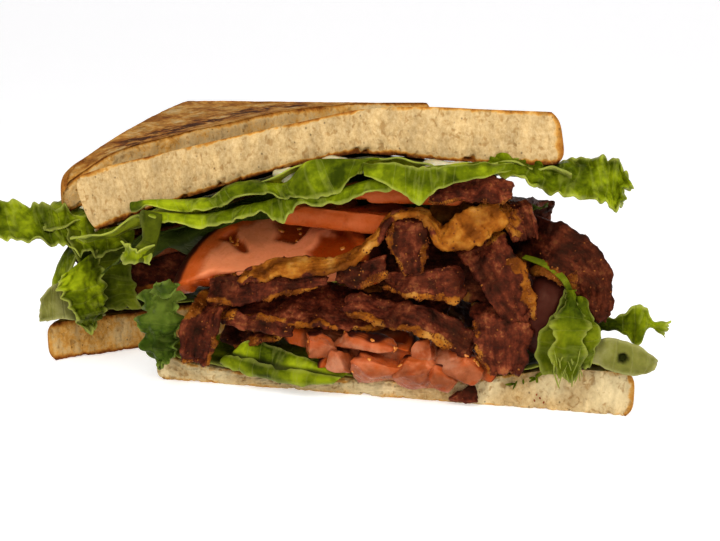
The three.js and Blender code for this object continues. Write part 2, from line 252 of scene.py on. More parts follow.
bpy.ops.mesh.primitive_plane_add(size=SHEET_SIDE, location=(0, 0, -BELOW_THE_FOOD))
table = bpy.context.object
table.name = "table"
bpy.ops.object.mode_set(mode="EDIT")
bpy.ops.mesh.select_mode(type="EDGE")
bpy.ops.mesh.select_all(action="DESELECT")
shape = bmesh.from_edit_mesh(table.data)
for edge in shape.edges:
    edge.select_set(all(corner.co.y > SHEET_SIDE / 3 for corner in edge.verts))
bmesh.update_edit_mesh(table.data)
bpy.ops.mesh.extrude_region_move(TRANSFORM_OT_translate={"value": (0, 0, SHEET_RISE)})
bpy.ops.object.mode_set(mode="OBJECT")
bend = table.modifiers.new("sweep", "BEVEL")
bend.width, bend.segments = SWEEP_RADIUS, 12
bpy.ops.object.modifier_apply(modifier=bend.name)
bpy.ops.object.shade_smooth()
table.data.materials.append(paper)
print("table sheet:", SHEET_SIDE, "m wide")

# %% [markdown]
# Light comes as in a daylit kitchen: a broad soft window high in front, a weaker one on the
# right, and a bright room all round that fills the gaps.

# %% Light
def window(name, place, aim, size, watts):
    """A square soft light at place, looking at aim, both in the front half's millimetres."""
    bpy.ops.object.light_add(type="AREA", location=FRONT @ Vector(place))
    lamp = bpy.context.object
    lamp.name = name
    lamp.data.size, lamp.data.energy = size, watts
    lamp.rotation_euler = (Vector(place) - Vector(aim)).to_track_quat("Z", "Y").to_euler()


window("high_window", (-90, -520, 460), (0, 10, 40), size=0.45, watts=2.75)
window("side_window", (460, -420, 300), (0, 0, 40), size=0.5, watts=1.9)
world = bpy.data.worlds.new("daylit_kitchen")
bpy.context.scene.world = world
world.use_nodes = True
world.node_tree.nodes["Background"].inputs["Color"].default_value = srgb("#FBFBFF")
world.node_tree.nodes["Background"].inputs["Strength"].default_value = 0.48
bpy.context.scene.view_settings.view_transform = "Standard"
bpy.context.scene.view_settings.look = "Medium High Contrast"

# %% [markdown]
# Bread, bacon and leaves are all uneven. Two small helpers read and write the points of a
# mesh as one array, a third gives smooth random values there, and a fourth stores a value
# for each point, which the materials read to know where a piece is toasted, fat or pale.
# Where lumps move points further down, the number in front says how far and the sizes in
# brackets how long the lumps are, both in millimetres; the seed keeps layers unlike each other.

# %% Points, noise and painted values
SEED_STEP = 7.31
NOISE_GAIN = 1.4


def points_of(piece, what="co"):
    """All points of a piece as one array, or with "normal" its directions outwards."""
    flat = np.empty(len(piece.data.vertices) * 3, np.float32)
    piece.data.vertices.foreach_get(what, flat)
    return flat.reshape(-1, 3).astype(float)


def move_points(piece, points):
    piece.data.vertices.foreach_set("co", points.astype(np.float32).ravel())
    piece.data.update()


def lumps(points, size, seed=0.0):
    """Smooth random values from about -1 to 1; size is a lump's length, one or three values."""
    scaled = points / np.array(size, float) + seed * SEED_STEP
    return NOISE_GAIN * np.array([noise.noise(Vector(p)) for p in scaled])


def pits(points, size, seed=0.0):
    """Distance to the nearest of many scattered points, 0 at a point and near 1 between them."""
    scaled = points / np.array(size, float) + seed * SEED_STEP
    return np.array([noise.voronoi(Vector(p))[0][0] for p in scaled])


def smooth(low, high, values):
    """Goes softly from 0 where values are at low to 1 where they are at high."""
    t = np.clip((values - low) / (high - low), 0, 1)
    return t * t * (3 - 2 * t)


def paint(piece, name, values):
    """Stores a value from 0 to 1 at every point, under a name that materials read."""
    layer = piece.data.attributes.new(name, "FLOAT", "POINT")
    layer.data.foreach_set("value", np.clip(values, 0, 1).astype(np.float32))


def painted(piece, name):
    values = np.empty(len(piece.data.vertices), np.float32)
    piece.data.attributes[name].data.foreach_get("value", values)
    return values


def apply_modifier(piece, kind, **settings):
    """Adds a modifier and applies it at once."""
    bpy.context.view_layer.objects.active = piece
    modifier = piece.modifiers.new(kind.lower(), kind)
    for name, value in settings.items():
        setattr(modifier, name, value)
    bpy.ops.object.modifier_apply(modifier=modifier.name)


walk = lumps(np.outer(np.linspace(0, 500, 400), (1, 0.6, 0.3)), 5.0)
print("lumps go from", round(float(walk.min()), 2), "to", round(float(walk.max()), 2))

# %% [markdown]
# Grains such as seeds and crumbs are too many to add one by one, so the points of one small
# ball are repeated in a single mesh. Every finished piece goes through settle, which gives it
# its name, its place and its material, and hides the CAD nodes that it stands for.

# %% Grains and finished pieces
def spots_on(piece, wanted, count, seed):
    """Up to count places on a piece, with the directions outwards, where wanted is true."""
    chosen = np.flatnonzero(wanted)
    chosen = np.random.default_rng(seed).permutation(chosen)[:count]
    return list(zip(points_of(piece)[chosen], points_of(piece, "normal")[chosen]))


def grains(spots, sizes, seed, rounds=1):
    """One mesh of many small lumps, each lying on its spot. sizes are a lump's three half sizes."""
    bpy.ops.mesh.primitive_ico_sphere_add(subdivisions=rounds, radius=1)
    heap = bpy.context.object
    ball = points_of(heap)
    faces = np.array([list(face.vertices) for face in heap.data.polygons])
    chance = np.random.default_rng(seed)
    points = []
    for place, out in spots:
        stretched = ball * sizes * chance.uniform(0.6, 1.2, 3)
        lump = stretched * (1 + 0.15 * chance.uniform(-1, 1, (len(ball), 1)))
        spin = Matrix.Rotation(chance.uniform(0, 2 * math.pi), 3, "Z")
        lay = Vector(out).to_track_quat("Z", "Y").to_matrix() @ spin
        points.append(lump @ np.array(lay).T + place)
    repeated = np.concatenate([faces + i * len(ball) for i in range(len(spots))])
    heap.data.clear_geometry()
    heap.data.from_pydata(np.concatenate(points).tolist(), [], repeated.tolist())
    return heap


def joined(*pieces):
    """Makes one object of several."""
    for piece in pieces:
        piece.select_set(True)
    bpy.context.view_layer.objects.active = pieces[0]
    bpy.ops.object.join()
    return pieces[0]


def face_outwards(piece):
    bpy.context.view_layer.objects.active = piece
    bpy.ops.object.mode_set(mode="EDIT")
    bpy.ops.mesh.select_all(action="SELECT")
    bpy.ops.mesh.normals_make_consistent(inside=False)
    bpy.ops.object.mode_set(mode="OBJECT")


def settle(piece, name, half, slot, material, *nodes):
    """Names a finished piece, carries it to its half, gives it its material, and hides the CAD nodes that it
    replaces.
    """
    piece.name = name
    piece.data.transform(half)
    piece.data.materials.clear()
    piece.data.materials.append(material)
    piece.select_set(True)
    bpy.context.view_layer.objects.active = piece
    bpy.ops.object.shade_smooth()
    bpy.ops.object.select_all(action="DESELECT")
    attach(piece, "root")
    if nodes:
        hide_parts(*nodes)
    print(name, len(piece.data.polygons), "faces")


# %% [markdown]
# Toasted white bread is a matte, porous foam. Its crumb is cream to tan, full of small
# pinholes; heat turns the outer millimetre gold, then brown, with darker blotches where the
# slice pressed on the hot plate. One painted value, brown, runs from 0 in the crumb to 1 at
# the toasted faces, and a colour ramp turns it into colour after fine noise has broken it up.
# Another painted value lightens the crumb in broad patches: painted light, used on the front base.

# %% Toasted bread
# Scales are in cells to the metre: crumb cells of 1.1 mm, pinholes 3.3 mm apart, pores of
# 2.3 mm, streaks of 5 mm, and blotches of browning of 10 mm.
CELLS, PINHOLES, PORES, STREAKS, BLOTCHES = 900.0, 300.0, 430.0, 190.0, 95.0
toasted_bread, tree, shader = new_material("griddle_toasted_white_bread")
place = node(tree, "ShaderNodeTexCoord").outputs["Object"]
brown = node(tree, "ShaderNodeAttribute", attribute_name="brown").outputs["Fac"]
upright = node(tree, "ShaderNodeMapping", {"Vector": place, "Scale": (1.0, 1.0, 0.85)}).outputs["Vector"]
cells = node(
    tree, "ShaderNodeTexNoise", {"Vector": upright, "Scale": CELLS, "Detail": 5.0, "Roughness": 0.7}
)
blotches = node(
    tree, "ShaderNodeTexNoise", {"Vector": place, "Scale": BLOTCHES, "Detail": 5.0, "Roughness": 0.65}
)
pinholes = node(tree, "ShaderNodeTexVoronoi", {"Vector": upright, "Scale": PINHOLES, "Randomness": 1.0})
blotch_push = node(tree, "ShaderNodeMath", {0: blotches.outputs["Fac"], 1: 0.5}, operation="SUBTRACT")
cell_push = node(tree, "ShaderNodeMath", {0: cells.outputs["Fac"], 1: 0.5}, operation="SUBTRACT")
mottled = node(
    tree, "ShaderNodeMath", {0: blotch_push.outputs[0], 1: 0.75, 2: brown}, operation="MULTIPLY_ADD"
)
speckled = node(
    tree, "ShaderNodeMath", {0: cell_push.outputs[0], 1: 0.5, 2: mottled.outputs[0]},
    operation="MULTIPLY_ADD",
)
toast_colour = node(
    tree, "ShaderNodeValToRGB", {"Fac": speckled.outputs[0]},
    stops=[(0.12, "#C9AB77"), (0.34, "#BA8C48"), (0.52, "#A06C2C"), (0.72, "#784416"), (0.95, "#4A280D")],
)
crumb_colour = node(
    tree, "ShaderNodeValToRGB", {"Fac": cells.outputs["Fac"]},
    stops=[(0.3, "#A68A5C"), (0.48, "#B79B6D"), (0.68, "#C6AC80")],
)
# Painted light: this painted value mixes the crumb towards a pale cream.
crumb_painted_light = node(tree, "ShaderNodeAttribute", attribute_name="crumb_painted_light").outputs["Fac"]
lightened_crumb = node(
    tree, "ShaderNodeMixRGB",
    {"Fac": crumb_painted_light, "Color1": crumb_colour.outputs["Color"], "Color2": srgb("#DCCDA4")},
)
is_toast = node(
    tree, "ShaderNodeMapRange", {"Value": speckled.outputs[0], "From Min": 0.16, "From Max": 0.36}
)
baked = node(
    tree, "ShaderNodeMixRGB",
    {"Fac": is_toast.outputs[0], "Color1": lightened_crumb.outputs[0], "Color2": toast_colour.outputs["Color"]},
)

# %% [markdown]
# Over that colour lie three finer things: pinholes, pale and dense streaks drawn upwards as
# the dough rose, and pores. Pinholes and pores are darkened with painted shade, and the pores and the cells
# also dent the surface.

# %% Pinholes, streaks and pores of the bread
# Painted shade: the middle of each pinhole is darkened to less than half.
is_hole = node(
    tree, "ShaderNodeMapRange",
    {"Value": pinholes.outputs["Distance"], "From Min": 0.05, "From Max": 0.13, "To Min": 0.42},
)
drawn_up = node(tree, "ShaderNodeMapping", {"Vector": place, "Scale": (1.0, 1.0, 0.45)}).outputs["Vector"]
pulled = node(
    tree, "ShaderNodeTexNoise", {"Vector": drawn_up, "Scale": STREAKS, "Detail": 4.0, "Roughness": 0.6}
)
pale_or_dense = node(
    tree, "ShaderNodeMapRange",
    {"Value": pulled.outputs["Fac"], "From Min": 0.36, "From Max": 0.62, "To Min": 0.8, "To Max": 1.08},
    clamp=False,
)
pores = node(
    tree, "ShaderNodeTexNoise",
    {"Vector": upright, "Scale": PORES, "Detail": 2.0, "Roughness": 0.6, "Distortion": 0.4},
)
pore_share = node(
    tree, "ShaderNodeMapRange",
    {"Value": pores.outputs["Fac"], "From Min": 0.56, "From Max": 0.68, "To Max": 0.6},
)
# Painted shade: the pores are mixed towards a darker tan.
pored = node(
    tree, "ShaderNodeMixRGB",
    {"Fac": pore_share.outputs[0], "Color1": baked.outputs[0], "Color2": srgb("#8E6A38")},
)
shade = node(
    tree, "ShaderNodeMath", {0: pale_or_dense.outputs[0], 1: is_hole.outputs[0]}, operation="MULTIPLY"
)
holed = node(
    tree, "ShaderNodeMixRGB", {"Fac": 1.0, "Color1": pored.outputs[0], "Color2": shade.outputs[0]},
    blend_type="MULTIPLY",
)
tree.links.new(holed.outputs[0], shader.inputs["Base Color"])
shader.inputs["Roughness"].default_value = 0.85
shader.inputs["Specular IOR Level"].default_value = 0.12
relief = node(
    tree, "ShaderNodeMath", {0: pore_share.outputs[0], 1: -0.8, 2: cells.outputs["Fac"]},
    operation="MULTIPLY_ADD",
)
bumps = node(tree, "ShaderNodeBump", {"Height": relief.outputs[0], "Distance": 0.0006, "Strength": 0.6})
tree.links.new(bumps.outputs["Normal"], shader.inputs["Normal"])
print("material:", toasted_bread.name)

# %% [markdown]
# Each slice starts as a box of 119 x 119 x 14.5 mm. Its four upright edges are rounded as a
# sandwich loaf's are, it is turned corner-on and cut through the middle with a bisect. A
# voxel remesh then gives it even small faces, and the cut face alone is divided once more.

# %% A half slice of bread
CRUST_SEGMENTS = 8
BREAD_VOXEL = 0.95
CUT_LAYER = 1.6


def half_depth(x):
    """How far a half slice reaches in from its cut, at x along the cut."""
    across = np.abs(x)
    middle = HALF_DIAGONAL - CRUST_RADIUS * math.sqrt(2)
    reach = CRUST_RADIUS / math.sqrt(2)
    tip = middle + np.sqrt(np.maximum(0, CRUST_RADIUS**2 - across**2))
    end = np.sqrt(np.maximum(0, CRUST_RADIUS**2 - (across - middle) ** 2))
    straight = HALF_DIAGONAL - across
    return np.where(across < reach, tip, np.where(across > HALF_DIAGONAL - reach, end, straight))


def cut_half():
    """A flat half slice, its cut face on the plane y = 0."""
    bpy.ops.mesh.primitive_cube_add(size=1, scale=(SLICE_SIDE, SLICE_SIDE, SLICE_THICK))
    slice_ = bpy.context.object
    bpy.ops.object.transform_apply(location=True, rotation=True, scale=True)
    bpy.ops.object.mode_set(mode="EDIT")
    bpy.ops.mesh.select_mode(type="EDGE")
    bpy.ops.mesh.select_all(action="DESELECT")
    shape = bmesh.from_edit_mesh(slice_.data)
    for edge in shape.edges:
        edge.select_set(abs(edge.verts[0].co.z - edge.verts[1].co.z) > 1)
    bmesh.update_edit_mesh(slice_.data)
    bpy.ops.mesh.bevel(offset=CRUST_RADIUS, segments=CRUST_SEGMENTS)
    bpy.ops.mesh.select_all(action="SELECT")
    bpy.ops.transform.rotate(value=math.radians(45), orient_axis="Z", center_override=(0, 0, 0))
    bpy.ops.mesh.bisect(plane_co=(0, 0, 0), plane_no=(0, 1, 0), use_fill=True, clear_inner=True)
    bpy.ops.mesh.select_all(action="SELECT")
    bpy.ops.transform.translate(value=(0, 0, SLICE_THICK / 2))
    bpy.ops.object.mode_set(mode="OBJECT")
    apply_modifier(slice_, "REMESH", mode="VOXEL", voxel_size=BREAD_VOXEL)
    return slice_


def divide_cut_face(slice_):
    """Halves the faces that lie at the cut."""
    bpy.ops.object.mode_set(mode="EDIT")
    bpy.ops.mesh.select_all(action="DESELECT")
    bpy.ops.mesh.select_mode(type="FACE")
    shape = bmesh.from_edit_mesh(slice_.data)
    for face in shape.faces:
        face.select_set(face.calc_center_median().y < CUT_LAYER)
    bmesh.update_edit_mesh(slice_.data)
    bpy.ops.mesh.subdivide(number_cuts=1)
    bpy.ops.object.mode_set(mode="OBJECT")


print("a half slice reaches", round(float(half_depth(0)), 1), "mm in from its cut")

# %% [markdown]
# A knife tears soft crumb. Its points go in and out a little at the cut, taller than wide, and
# deeper where one of a few pores sits, and bites are missing along the lower edge. The whole
# slice is moved between its two faces, and its crusts are rounded. A sculpting brush would do
# this by hand; smooth noise does it the same way on all four slices.

# %% Moulding a slice
CRUST_ROUND = 2.6


def places_in(slice_, lower, upper, shift):
    """Where a half slice's points lie: share is 0 at the lower face and 1 at the upper."""
    flat = points_of(slice_)
    x, y, z = flat.T
    share = np.clip(z / SLICE_THICK, 0, 1)
    low = lower(x + shift, y)
    thick = upper(x + shift, y) - low
    return SimpleNamespace(
        flat=flat,
        along=np.c_[x, 0 * x, 0 * x],
        share=share,
        low=low,
        thick=thick,
        from_cut=np.maximum(y, 0),
        from_faces=np.minimum(share, 1 - share) * thick,
        from_crust=np.minimum((half_depth(x) - y) / math.sqrt(2), CUT_END - np.abs(x)),
        at_cut=smooth(1.4, 0.2, np.maximum(y, 0)),
    )


def crumb_relief(flat, seed):
    """How far the torn crumb stands out: pores, cells, clumps and broad swells."""
    tall = flat * (1, 1, 0.5)
    relief = 0.45 * smooth(0.25, 0.1, pits(tall, 3.4, seed)) + 0.3 * lumps(tall, 1.1, seed)
    return relief + 0.2 * lumps(tall, 2.6, seed) + 0.35 * lumps(tall, 6, seed)


def mould(at, shift, seed, torn, rough, softness, slant):
    """The moved points of a half slice, before its shift along the cut."""
    x, y = at.flat[:, 0], at.flat[:, 1]
    puffed = 0.55 + rough * crumb_relief(at.flat, seed) + softness * smooth(2.4, 0.0, at.from_faces)
    y = y + at.at_cut * puffed * smooth(0.0, 1.2, at.from_crust)
    pressed = 0.3 * lumps(at.flat, 2.4, seed + 1) + 0.35 * lumps(at.flat, 9, seed + 2)
    ragged = lumps(at.along, 5.5, seed + 3) + 0.5 * lumps(at.along, 2.0, seed + 4)
    tear = smooth(-0.1, 0.9, ragged + 0.3 * lumps(at.along, 0.9, seed + 7))
    bite = 0.55 + 0.9 * lumps(at.flat, 1.6, seed + 13)
    bitten = torn * bite * tear * smooth(2.4, 0.0, at.from_cut) * smooth(0.25, 0.0, at.share)
    z = at.low + at.share * at.thick + 1.2 * bitten
    to_middle = np.where(at.share > 0.5, -1, 1)
    z += to_middle * (1 - at.at_cut) * 0.25 * (1 + pressed) * smooth(1.5, 0.2, at.from_faces)
    y = y + 1.6 * bitten
    round_off = np.clip(1 - at.from_crust / 4, 0, 1) ** 1.5 * np.abs(2 * at.share - 1) ** 4
    x = x - np.sign(x) * CRUST_ROUND * round_off
    left_slant, right_slant = slant
    x = x - (at.share - 0.5) * (left_slant * smooth(-48, -72, x) + right_slant * smooth(48, 72, x))
    y = y - CRUST_ROUND * round_off * smooth(1.0, 4.0, at.from_cut)
    return np.c_[x, y, z]


print("crusts are rounded by up to", CRUST_ROUND, "mm")

# %% [markdown]
# Toasting browns what touched the plate: both faces, with an uneven line where the browning
# stops at the cut, the crust sides, and scorched streaks where the slice pressed hardest. Each
# is a distance turned into a share from 0 to 1, and the strongest of them wins. Painting such
# a mask with a brush would do too, but distances follow the slice when its shape changes.

# %% Browning a slice
def browning(at, moved, seed, top_brown, under_brown, cut_shade, scorched, scorch_line, end_crust):
    """How brown each point of a half slice is, from 0 in the crumb to 1."""
    x, y = moved[:, 0], moved[:, 1]
    flat = at.flat
    line = 1.0 + 1.1 * lumps(at.along, 11, seed + 5) + 0.5 * lumps(at.along, 1.5, seed + 6)
    uneven = 1 + 0.5 * lumps(flat, (9, 9, 5), seed + 14) + 0.4 * lumps(flat, 2.2, seed + 15)
    top = top_brown * uneven * smooth(line + 1.0, line * 0.2, (1 - at.share) * at.thick)
    bottom = under_brown * smooth(line + 1.0, line * 0.2, at.share * at.thick)
    crust_side = smooth(2.0, 0.3, at.from_crust) * smooth(0.0, 2.0, at.from_cut + 0.6)
    right_end = end_crust * smooth(3.8, 0.6, CUT_END - flat[:, 0] + 0.8 * lumps(flat, 2.5, seed + 16))
    off_line = np.abs(y - line_at(x, scorch_line, 1))
    off_line = off_line + 6 * lumps(flat, 7, seed + 8) + 4 * lumps(flat, 2.4, seed + 9)
    blots = smooth(-0.5, 0.3, lumps(flat, (6, 4, 4), seed + 10) + 0.7 * lumps(flat, 1.8, seed + 11))
    scorch = scorched * blots * smooth(12, 2, off_line) * smooth(4, 14, at.from_crust)
    rim = (0.12 * smooth(9, 0, at.from_crust) + scorch) * smooth(0.8, 0.2, at.from_faces)
    # Painted shade: the cut faces of the rear slices, which lie in shade, are browned.
    rim = rim + cut_shade * at.at_cut
    return np.maximum.reduce([top, bottom, 0.55 * crust_side, right_end]) + rim


def bake_slice(
    lower, upper, shift, seed, top_brown, under_brown, torn=1.0, rough=1.0, softness=0.3, slant=(0, 0),
    cut_shade=0.0, scorched=0.3, scorch_line=((-60, 12), (0, 12), (60, 12)), end_crust=0.0, crumb_painted_light=0.0,
):
    """
    A half slice between two faces. torn, rough and softness shape its cut face, slant its two
    ends; the rest says how brown its faces, scorched line and right end are, how much painted
    shade browns its cut, and how much painted light lightens its crumb.
    """
    slice_ = cut_half()
    divide_cut_face(slice_)
    at = places_in(slice_, lower, upper, shift)
    moved = mould(at, shift, seed, torn, rough, softness, slant)
    move_points(slice_, moved + (shift, 0, 0))
    paint(slice_, "crumb_painted_light", crumb_painted_light * smooth(-0.6, 0.4, lumps(at.flat, 12, seed + 12)))
    brown_share = browning(
        at, moved, seed, top_brown, under_brown, cut_shade, scorched, scorch_line, end_crust
    )
    paint(slice_, "brown", brown_share)
    return slice_


print("bread is ready to bake")

# %% [markdown]
# The front lid's cut edge is in full view, and its two ends slant where the knife bent them.
# The rear lid also shows its griddled top, so a line of scorch marks runs across it.

# %% The four half slices
REAR_SCORCH = [(-52, 12), (-30, 19), (-10, 26), (8, 34), (24, 38), (46, 26)]
slice_ = bake_slice(
    under_front_lid, front_lid, FRONT_TOP_SHIFT, seed=1, top_brown=0.45, under_brown=0.8, torn=0.8,
    slant=(6, 2.6), end_crust=0.5,
)
settle(slice_, "bread_front_top", FRONT, "toasted_bread", toasted_bread, "front_bread_top")
# Painted light: the front base's crumb is lightened in patches.
slice_ = bake_slice(
    on_table, front_base, 0, seed=2, top_brown=0.28, under_brown=0.24, torn=0.6, end_crust=0.42,
    crumb_painted_light=0.5,
)
settle(slice_, "bread_front_bottom", FRONT, "toasted_bread", toasted_bread, "front_bread_bottom")
# The rear slices' cut faces lie in shade, and that shade is painted on them as brown.
slice_ = bake_slice(
    under_rear_lid, rear_lid, REAR_TOP_SHIFT, seed=3, top_brown=0.42, under_brown=0.5, rough=0.3,
    softness=1.4, cut_shade=0.24, scorched=0.6, scorch_line=REAR_SCORCH,
)
settle(slice_, "bread_rear_top", REAR, "toasted_bread", toasted_bread, "rear_bread_top")
slice_ = bake_slice(
    on_table, slice_top, 0, seed=4, top_brown=0.45, under_brown=0.42, torn=0.4, cut_shade=0.32
)
settle(slice_, "bread_rear_bottom", REAR, "toasted_bread", toasted_bread, "rear_bread_bottom")

# %% [markdown]
# A fried rasher is a thin wavy strip. The lean shrinks more than the fat, so its long edges
# ripple, and its outline tears where it crisped. It starts as a flat grid, which is laid
# along a smooth path, given its thickness with Solidify, and rounded by a subdivision. The
# grid could also follow a curve with a modifier, but then its width could not twist freely.

# %% Strips laid along a line
def unit(vectors):
    """The vectors at length 1."""
    return vectors / np.maximum(np.linalg.norm(vectors, axis=1, keepdims=True), 1e-9)


def length_of(path):
    """Length of a smooth line."""
    line = through(path, np.linspace(0, 1, 60))
    return float(np.linalg.norm(np.diff(line, axis=0), axis=1).sum())


def laid_grid(cells, size, lay):
    """A grid whose points are moved to lay(u, v), with its u and v. Its UV map is in millimetres."""
    bpy.ops.mesh.primitive_grid_add(x_subdivisions=cells[0], y_subdivisions=cells[1], size=1)
    sheet = bpy.context.object
    u, v = points_of(sheet)[:, 0] + 0.5, points_of(sheet)[:, 1] + 0.5
    for corner in sheet.data.uv_layers[0].data:
        corner.uv = (corner.uv[0] * size[0], corner.uv[1] * size[1])
    move_points(sheet, lay(u, v))
    return sheet, u, v


def wave(turns):
    return np.sin(2 * math.pi * turns)


print("a strip can be laid along any line")

# %% [markdown]
# Fat runs through a rasher in bands along its length. Their edges wander and narrow bands are
# broken here and there, while a band wider than a certain share of the rasher stays whole.

# %% Bands of fat
WHOLE_STREAK = 0.3


def bands_of_fat(flat, v, streaks):
    """How fat each point of a flat rasher is, from 0 to 1. v is where it lies across it."""
    wobble = 0.09 * lumps(flat, (9, 60, 1), 3) + 0.05 * lumps(flat, (2.5, 60, 1), 4)
    fat = 0 * v
    for where, half_width in streaks:
        apart = flat + where * 99
        swell = 1 + 0.9 * lumps(apart, (8, 60, 1), 5) + 0.5 * lumps(apart, (2.4, 60, 1), 7)
        breadth = np.maximum(half_width * swell, 0.01)
        unbroken = smooth(-0.45, 0.0, lumps(apart, (11, 60, 1), 8))
        unbroken = np.maximum(unbroken, half_width > WHOLE_STREAK)
        fat = np.maximum(fat, unbroken * smooth(1.6, 0.5, np.abs(v + wobble - where) / breadth))
    return fat


print("bands wider than", WHOLE_STREAK, "of a rasher to either side stay whole")

# %% [markdown]
# The rasher itself: its grid gets torn tips, a ragged outline and ripples, its fat and its
# charred places are painted, and after Solidify its skin blisters, fat more than lean.

# %% A rasher
BACON_THICK = 1.9
BACON_CELL = 1.15


def rasher(
    path, width, across=(0, 1, 0), crinkle=1.0, waves=2.0, phase=0.0, thick=BACON_THICK,
    streaks=((0.03, 0.08), (0.97, 0.08)), cup=0.0, char=0.0,
):
    """
    A fried strip along path. width and across may be lists, followed along the path. crinkle
    and waves ripple it lengthwise, and cup lifts its long edges. streaks are its bands of fat:
    where across it from 0 to 1, and how wide. char darkens it all over.
    """
    length, widths = length_of(path), np.atleast_1d(np.array(width, float))
    wide = float(widths.max())
    facing = np.atleast_2d(np.array(across, float))
    steps = (max(10, round(length / BACON_CELL)), max(6, round(wide / BACON_CELL)))

    def lay(u, v):
        rim = 2 * v - 1
        flat = np.c_[u * length, v * wide, 0 * u + phase * 50]
        tips = np.sign(u - 0.5) * smooth(0.3, 0.5, np.abs(u - 0.5))
        tip_edge = flat * (0, 1, 1) + np.c_[tips * 20, 0 * u, 0 * u]
        reach = u + tips * (1.8 * lumps(tip_edge, (1, 6, 1)) + 0.9 * lumps(tip_edge, (1, 1.8, 1))) / length
        centre = through(path, reach)
        along = unit(through(path, np.minimum(reach + 0.02, 1)) - through(path, np.maximum(reach - 0.02, 0)))
        centre = centre + along * ((reach - np.clip(reach, 0, 1)) * length)[:, None]
        side = through(facing, u) if len(facing) > 1 else np.repeat(facing, len(u), 0)
        side = unit(side - along * np.sum(side * along, 1)[:, None])
        out = np.cross(along, side)
        spans = np.interp(u, np.linspace(0, 1, len(widths)), widths)
        corner = np.maximum(0, np.abs(2 * u - 1) - 0.75) / 0.25
        half = spans / 2 * (1 - 0.22 * corner**2) * (1 + 0.06 * wave(1.7 * u + phase))
        edge = flat * (1, 0, 1) + np.c_[0 * u, np.sign(rim) * 25, 0 * u]
        half = half + np.abs(rim) ** 2 * (0.9 * lumps(edge, (6, 1, 1)) + 0.8 * lumps(edge, (1.9, 1, 1)))
        ripple = crinkle * wave(waves * u + phase + 0.12 * rim) + cup * rim**2
        ripple = ripple + 0.8 * lumps(flat, (7, 14, 1)) + 0.35 * lumps(flat, (2.6, 6, 1))
        ripple = ripple + 0.9 * rim**2 * lumps(flat, (4.5, 40, 1), 2)
        return centre + side * (rim * half)[:, None] + out * ripple[:, None]

    strip, u, v = laid_grid(steps, (length, wide), lay)
    flat = np.c_[u * length, v * wide, 0 * u + phase * 50]
    paint(strip, "fat", bands_of_fat(flat, v, streaks))
    paint(strip, "char", char + smooth(-0.1, 0.75, lumps(flat, (10, 8, 1), 6)))
    apply_modifier(strip, "SOLIDIFY", thickness=thick, offset=0.0)
    apply_modifier(strip, "SUBSURF", levels=1, render_levels=1)
    face_outwards(strip)
    place, normal = points_of(strip), points_of(strip, "normal")
    fatty = painted(strip, "fat")
    bubbles = 0.32 * lumps(place, 2.4, phase) + (0.2 + 0.2 * fatty) * lumps(place, 1.1, phase + 1)
    bubbles = bubbles + 0.2 * (fatty - 0.3)
    move_points(strip, place + normal * bubbles[:, None])
    return strip


print("rashers are", BACON_THICK, "mm thick")

# %% [markdown]
# Crisp bacon: lean that has dried to a dark red-brown, fat that has turned golden and
# slightly clear, and a film of grease over both. Fibres run in fine lines, so the noise that
# mixes the browns is fine, and the grease shows as a roughness that changes from spot to spot.

# %% Bacon
# Scales on Object coordinates are in cells to the metre: clots of 6 mm, crackle of 1.6 mm and
# specks of 1 mm. On the rasher's own map, in millimetres, fibres lie 1.8 mm apart and are
# drawn out lengthwise.
CLOTS, CRACKLE, SPECKS = 160.0, 620.0, 1000.0
FIBRES, DRAWN_OUT = 0.55, (0.3, 1.0, 1.0)
fried_bacon, tree, shader = new_material("fried_streaky_bacon")
coordinates = node(tree, "ShaderNodeTexCoord").outputs
fatness = node(tree, "ShaderNodeAttribute", attribute_name="fat").outputs["Fac"]
charred = node(tree, "ShaderNodeAttribute", attribute_name="char").outputs["Fac"]
grained = node(
    tree, "ShaderNodeMapping", {"Vector": coordinates["UV"], "Scale": DRAWN_OUT}
).outputs["Vector"]
fibres = node(
    tree, "ShaderNodeTexNoise", {"Vector": grained, "Scale": FIBRES, "Detail": 3.0, "Roughness": 0.5}
)
clots = node(
    tree, "ShaderNodeTexNoise",
    {"Vector": coordinates["Object"], "Scale": CLOTS, "Detail": 3.0, "Roughness": 0.55},
)
crackle = node(
    tree, "ShaderNodeTexNoise",
    {"Vector": coordinates["Object"], "Scale": CRACKLE, "Detail": 4.0, "Roughness": 0.6},
)
mixed = node(tree, "ShaderNodeMath", {0: clots.outputs["Fac"], 1: 0.5}, operation="MULTIPLY")
mixed = node(
    tree, "ShaderNodeMath", {0: fibres.outputs["Fac"], 1: 0.25, 2: mixed.outputs[0]},
    operation="MULTIPLY_ADD",
)
mixed = node(
    tree, "ShaderNodeMath", {0: crackle.outputs["Fac"], 1: 0.25, 2: mixed.outputs[0]},
    operation="MULTIPLY_ADD",
)
lean = node(
    tree, "ShaderNodeValToRGB", {"Fac": mixed.outputs[0]},
    stops=[(0.36, "#1E0B07"), (0.46, "#3E1810"), (0.54, "#5F2B1B"), (0.62, "#86492F")],
)
golden = node(
    tree, "ShaderNodeValToRGB", {"Fac": clots.outputs["Fac"]},
    stops=[(0.34, "#60330A"), (0.48, "#885016"), (0.6, "#A16C28"), (0.75, "#B88A48")],
)

# %% [markdown]
# Where lean ends and fat begins is never a clean line. The painted fat value says roughly
# where, noise added to it makes the border crumble, and brown specks and darker charred
# places lie over both.

